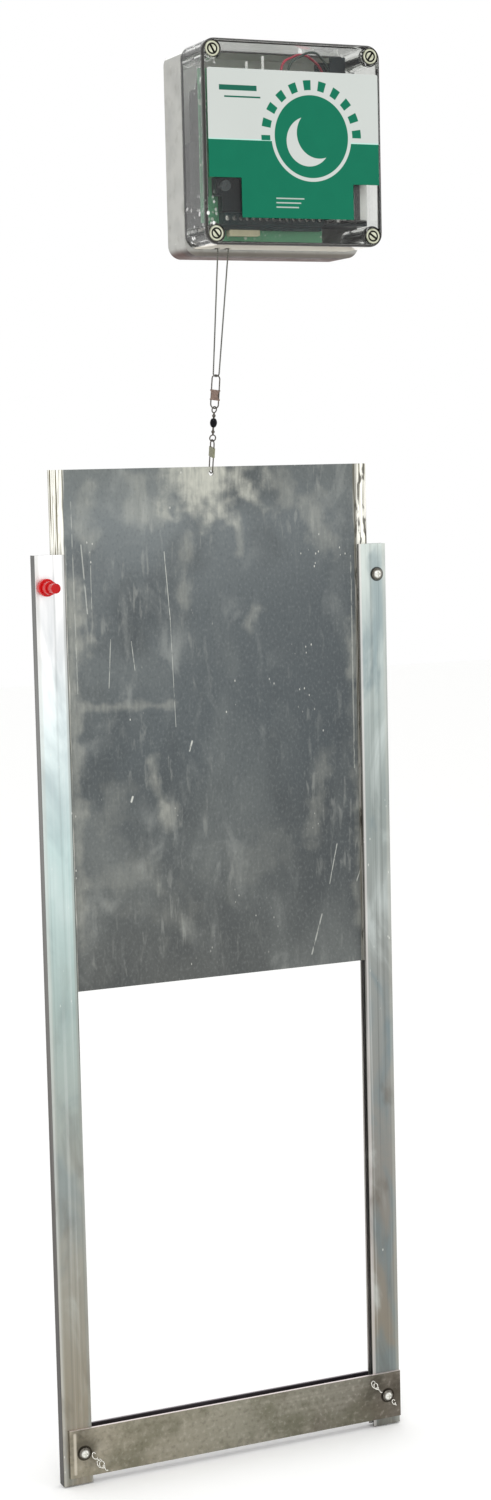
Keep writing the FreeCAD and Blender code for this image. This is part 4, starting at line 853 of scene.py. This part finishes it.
def metal_curl(name, metal, start, end, coil, turns):
    """A curl of swarf left by drilling: a thin springy strip round a line between two points."""
    points = []
    steps = turns * CURL_STEPS
    for i in range(steps + 1):
        share = i / steps
        angle = 2 * math.pi * turns * share
        reach = coil * (0.55 + 0.45 * math.sin(5.3 * share + 0.6))   # the turns differ in size
        across = Vector((math.cos(angle), 0.6 * math.sin(angle), math.sin(angle)))
        points.append(start.lerp(end, share) + reach * across)
    curl = ring_tube(name, points, CURL_RADIUS, CURL_SIDES)
    curl.data.materials.append(metal)
    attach(curl, "wall_frame")


# Name, screw (0 left, 1 right), start and end in mm right of and above the screw, coil radius in mm, turns
CURLS = (
    ("swarf_left_low", 0, (9, -7), (14, -13), 2.2, 4),
    ("swarf_left_high", 0, (5, -1), (9, -6), 1.6, 2),
    ("swarf_right_high", 1, (-12, 11), (-6, 4), 1.9, 4),
    ("swarf_right_low", 1, (3, -4), (5, -7), 1.3, 2),
)


def add_curls():
    """The curls beside the two sill screws, just off the sill's front."""
    metal = plain_metal("swarf_metal", rgb(236, 234, 226), 0.2)
    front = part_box("bottom_bar")[0].y - CURL_OFF_SILL
    for name, side, start, end, coil, turns in CURLS:
        screw_x, screw_z = screw_place("bar_screws", side)
        ends = [Vector((screw_x + x * MM, front, screw_z + z * MM)) for x, z in (start, end)]
        metal_curl(name, metal, *ends, coil * MM, turns)


def tangent_point(centre, radius, outside, away):
    """Where a line from an outside point touches a circle, on the side that points away."""
    to_outside = outside - centre
    along = to_outside.normalized()
    across = (away - along * away.dot(along)).normalized()
    cosine = radius / to_outside.length
    return centre + along * (radius * cosine) + across * (radius * math.sqrt(1 - cosine ** 2))


def add_cord_piece(name, braid, points):
    """One stretch of the lift cord: a tube through the given points."""
    cord = ring_tube(name, points, CORD_RADIUS)
    cord.data.materials.append(braid)
    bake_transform(cord)
    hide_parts("lift_cord")


def add_lift_cord():
    """The doubled cord: two strands down from the box, and an end that loops round the upper snap."""
    low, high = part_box("lift_cord")
    cord_y = low.y + CORD_RADIUS
    exit_left = Vector((low.x + CORD_RADIUS, cord_y, high.z))
    exit_right = Vector((high.x - CORD_RADIUS, cord_y, high.z))
    hole = Vector(joints["swivel_turn"]["pos_m"])
    pull = Vector(joints["swivel_turn"]["axis"]).normalized()
    turn_bottom = hole + pull * (SNAP_TOP - SNAP_WIRE - CORD_RADIUS - CORD_CLEARANCE)
    centre = turn_bottom + pull * CORD_TURN_RADIUS
    left = tangent_point(centre, CORD_TURN_RADIUS, exit_left, Vector((-1, 0, 0)))
    right = tangent_point(centre, CORD_TURN_RADIUS, exit_right, Vector((1, 0, 0)))
    cut_left = left + (exit_left - left).normalized() * TWIST_LENGTH
    cut_right = right + (exit_right - right).normalized() * TWIST_LENGTH

    points = [cut_left.lerp(left, step / TWIST_STEPS) for step in range(TWIST_STEPS + 1)]
    spread = (left - centre).angle(-pull)
    sideways = (right - left).normalized()
    for step in range(1, TURN_STEPS):
        angle = spread * (2 * step / TURN_STEPS - 1)
        points.append(centre + CORD_TURN_RADIUS * (math.sin(angle) * sideways - math.cos(angle) * pull))
    points += [right.lerp(cut_right, step / TWIST_STEPS) for step in range(TWIST_STEPS + 1)]

    braid = cord_braid()
    for side, start, end in (("left", exit_left, cut_left), ("right", exit_right, cut_right)):
        strand = [start, (start + end) / 2, end]
        add_cord_piece("lift_cord_" + side, braid, strand)
    add_cord_piece("lift_cord_turn", braid, points)


add_camera()
add_studio()
dress_everything()
add_lift_cord()
add_curls()
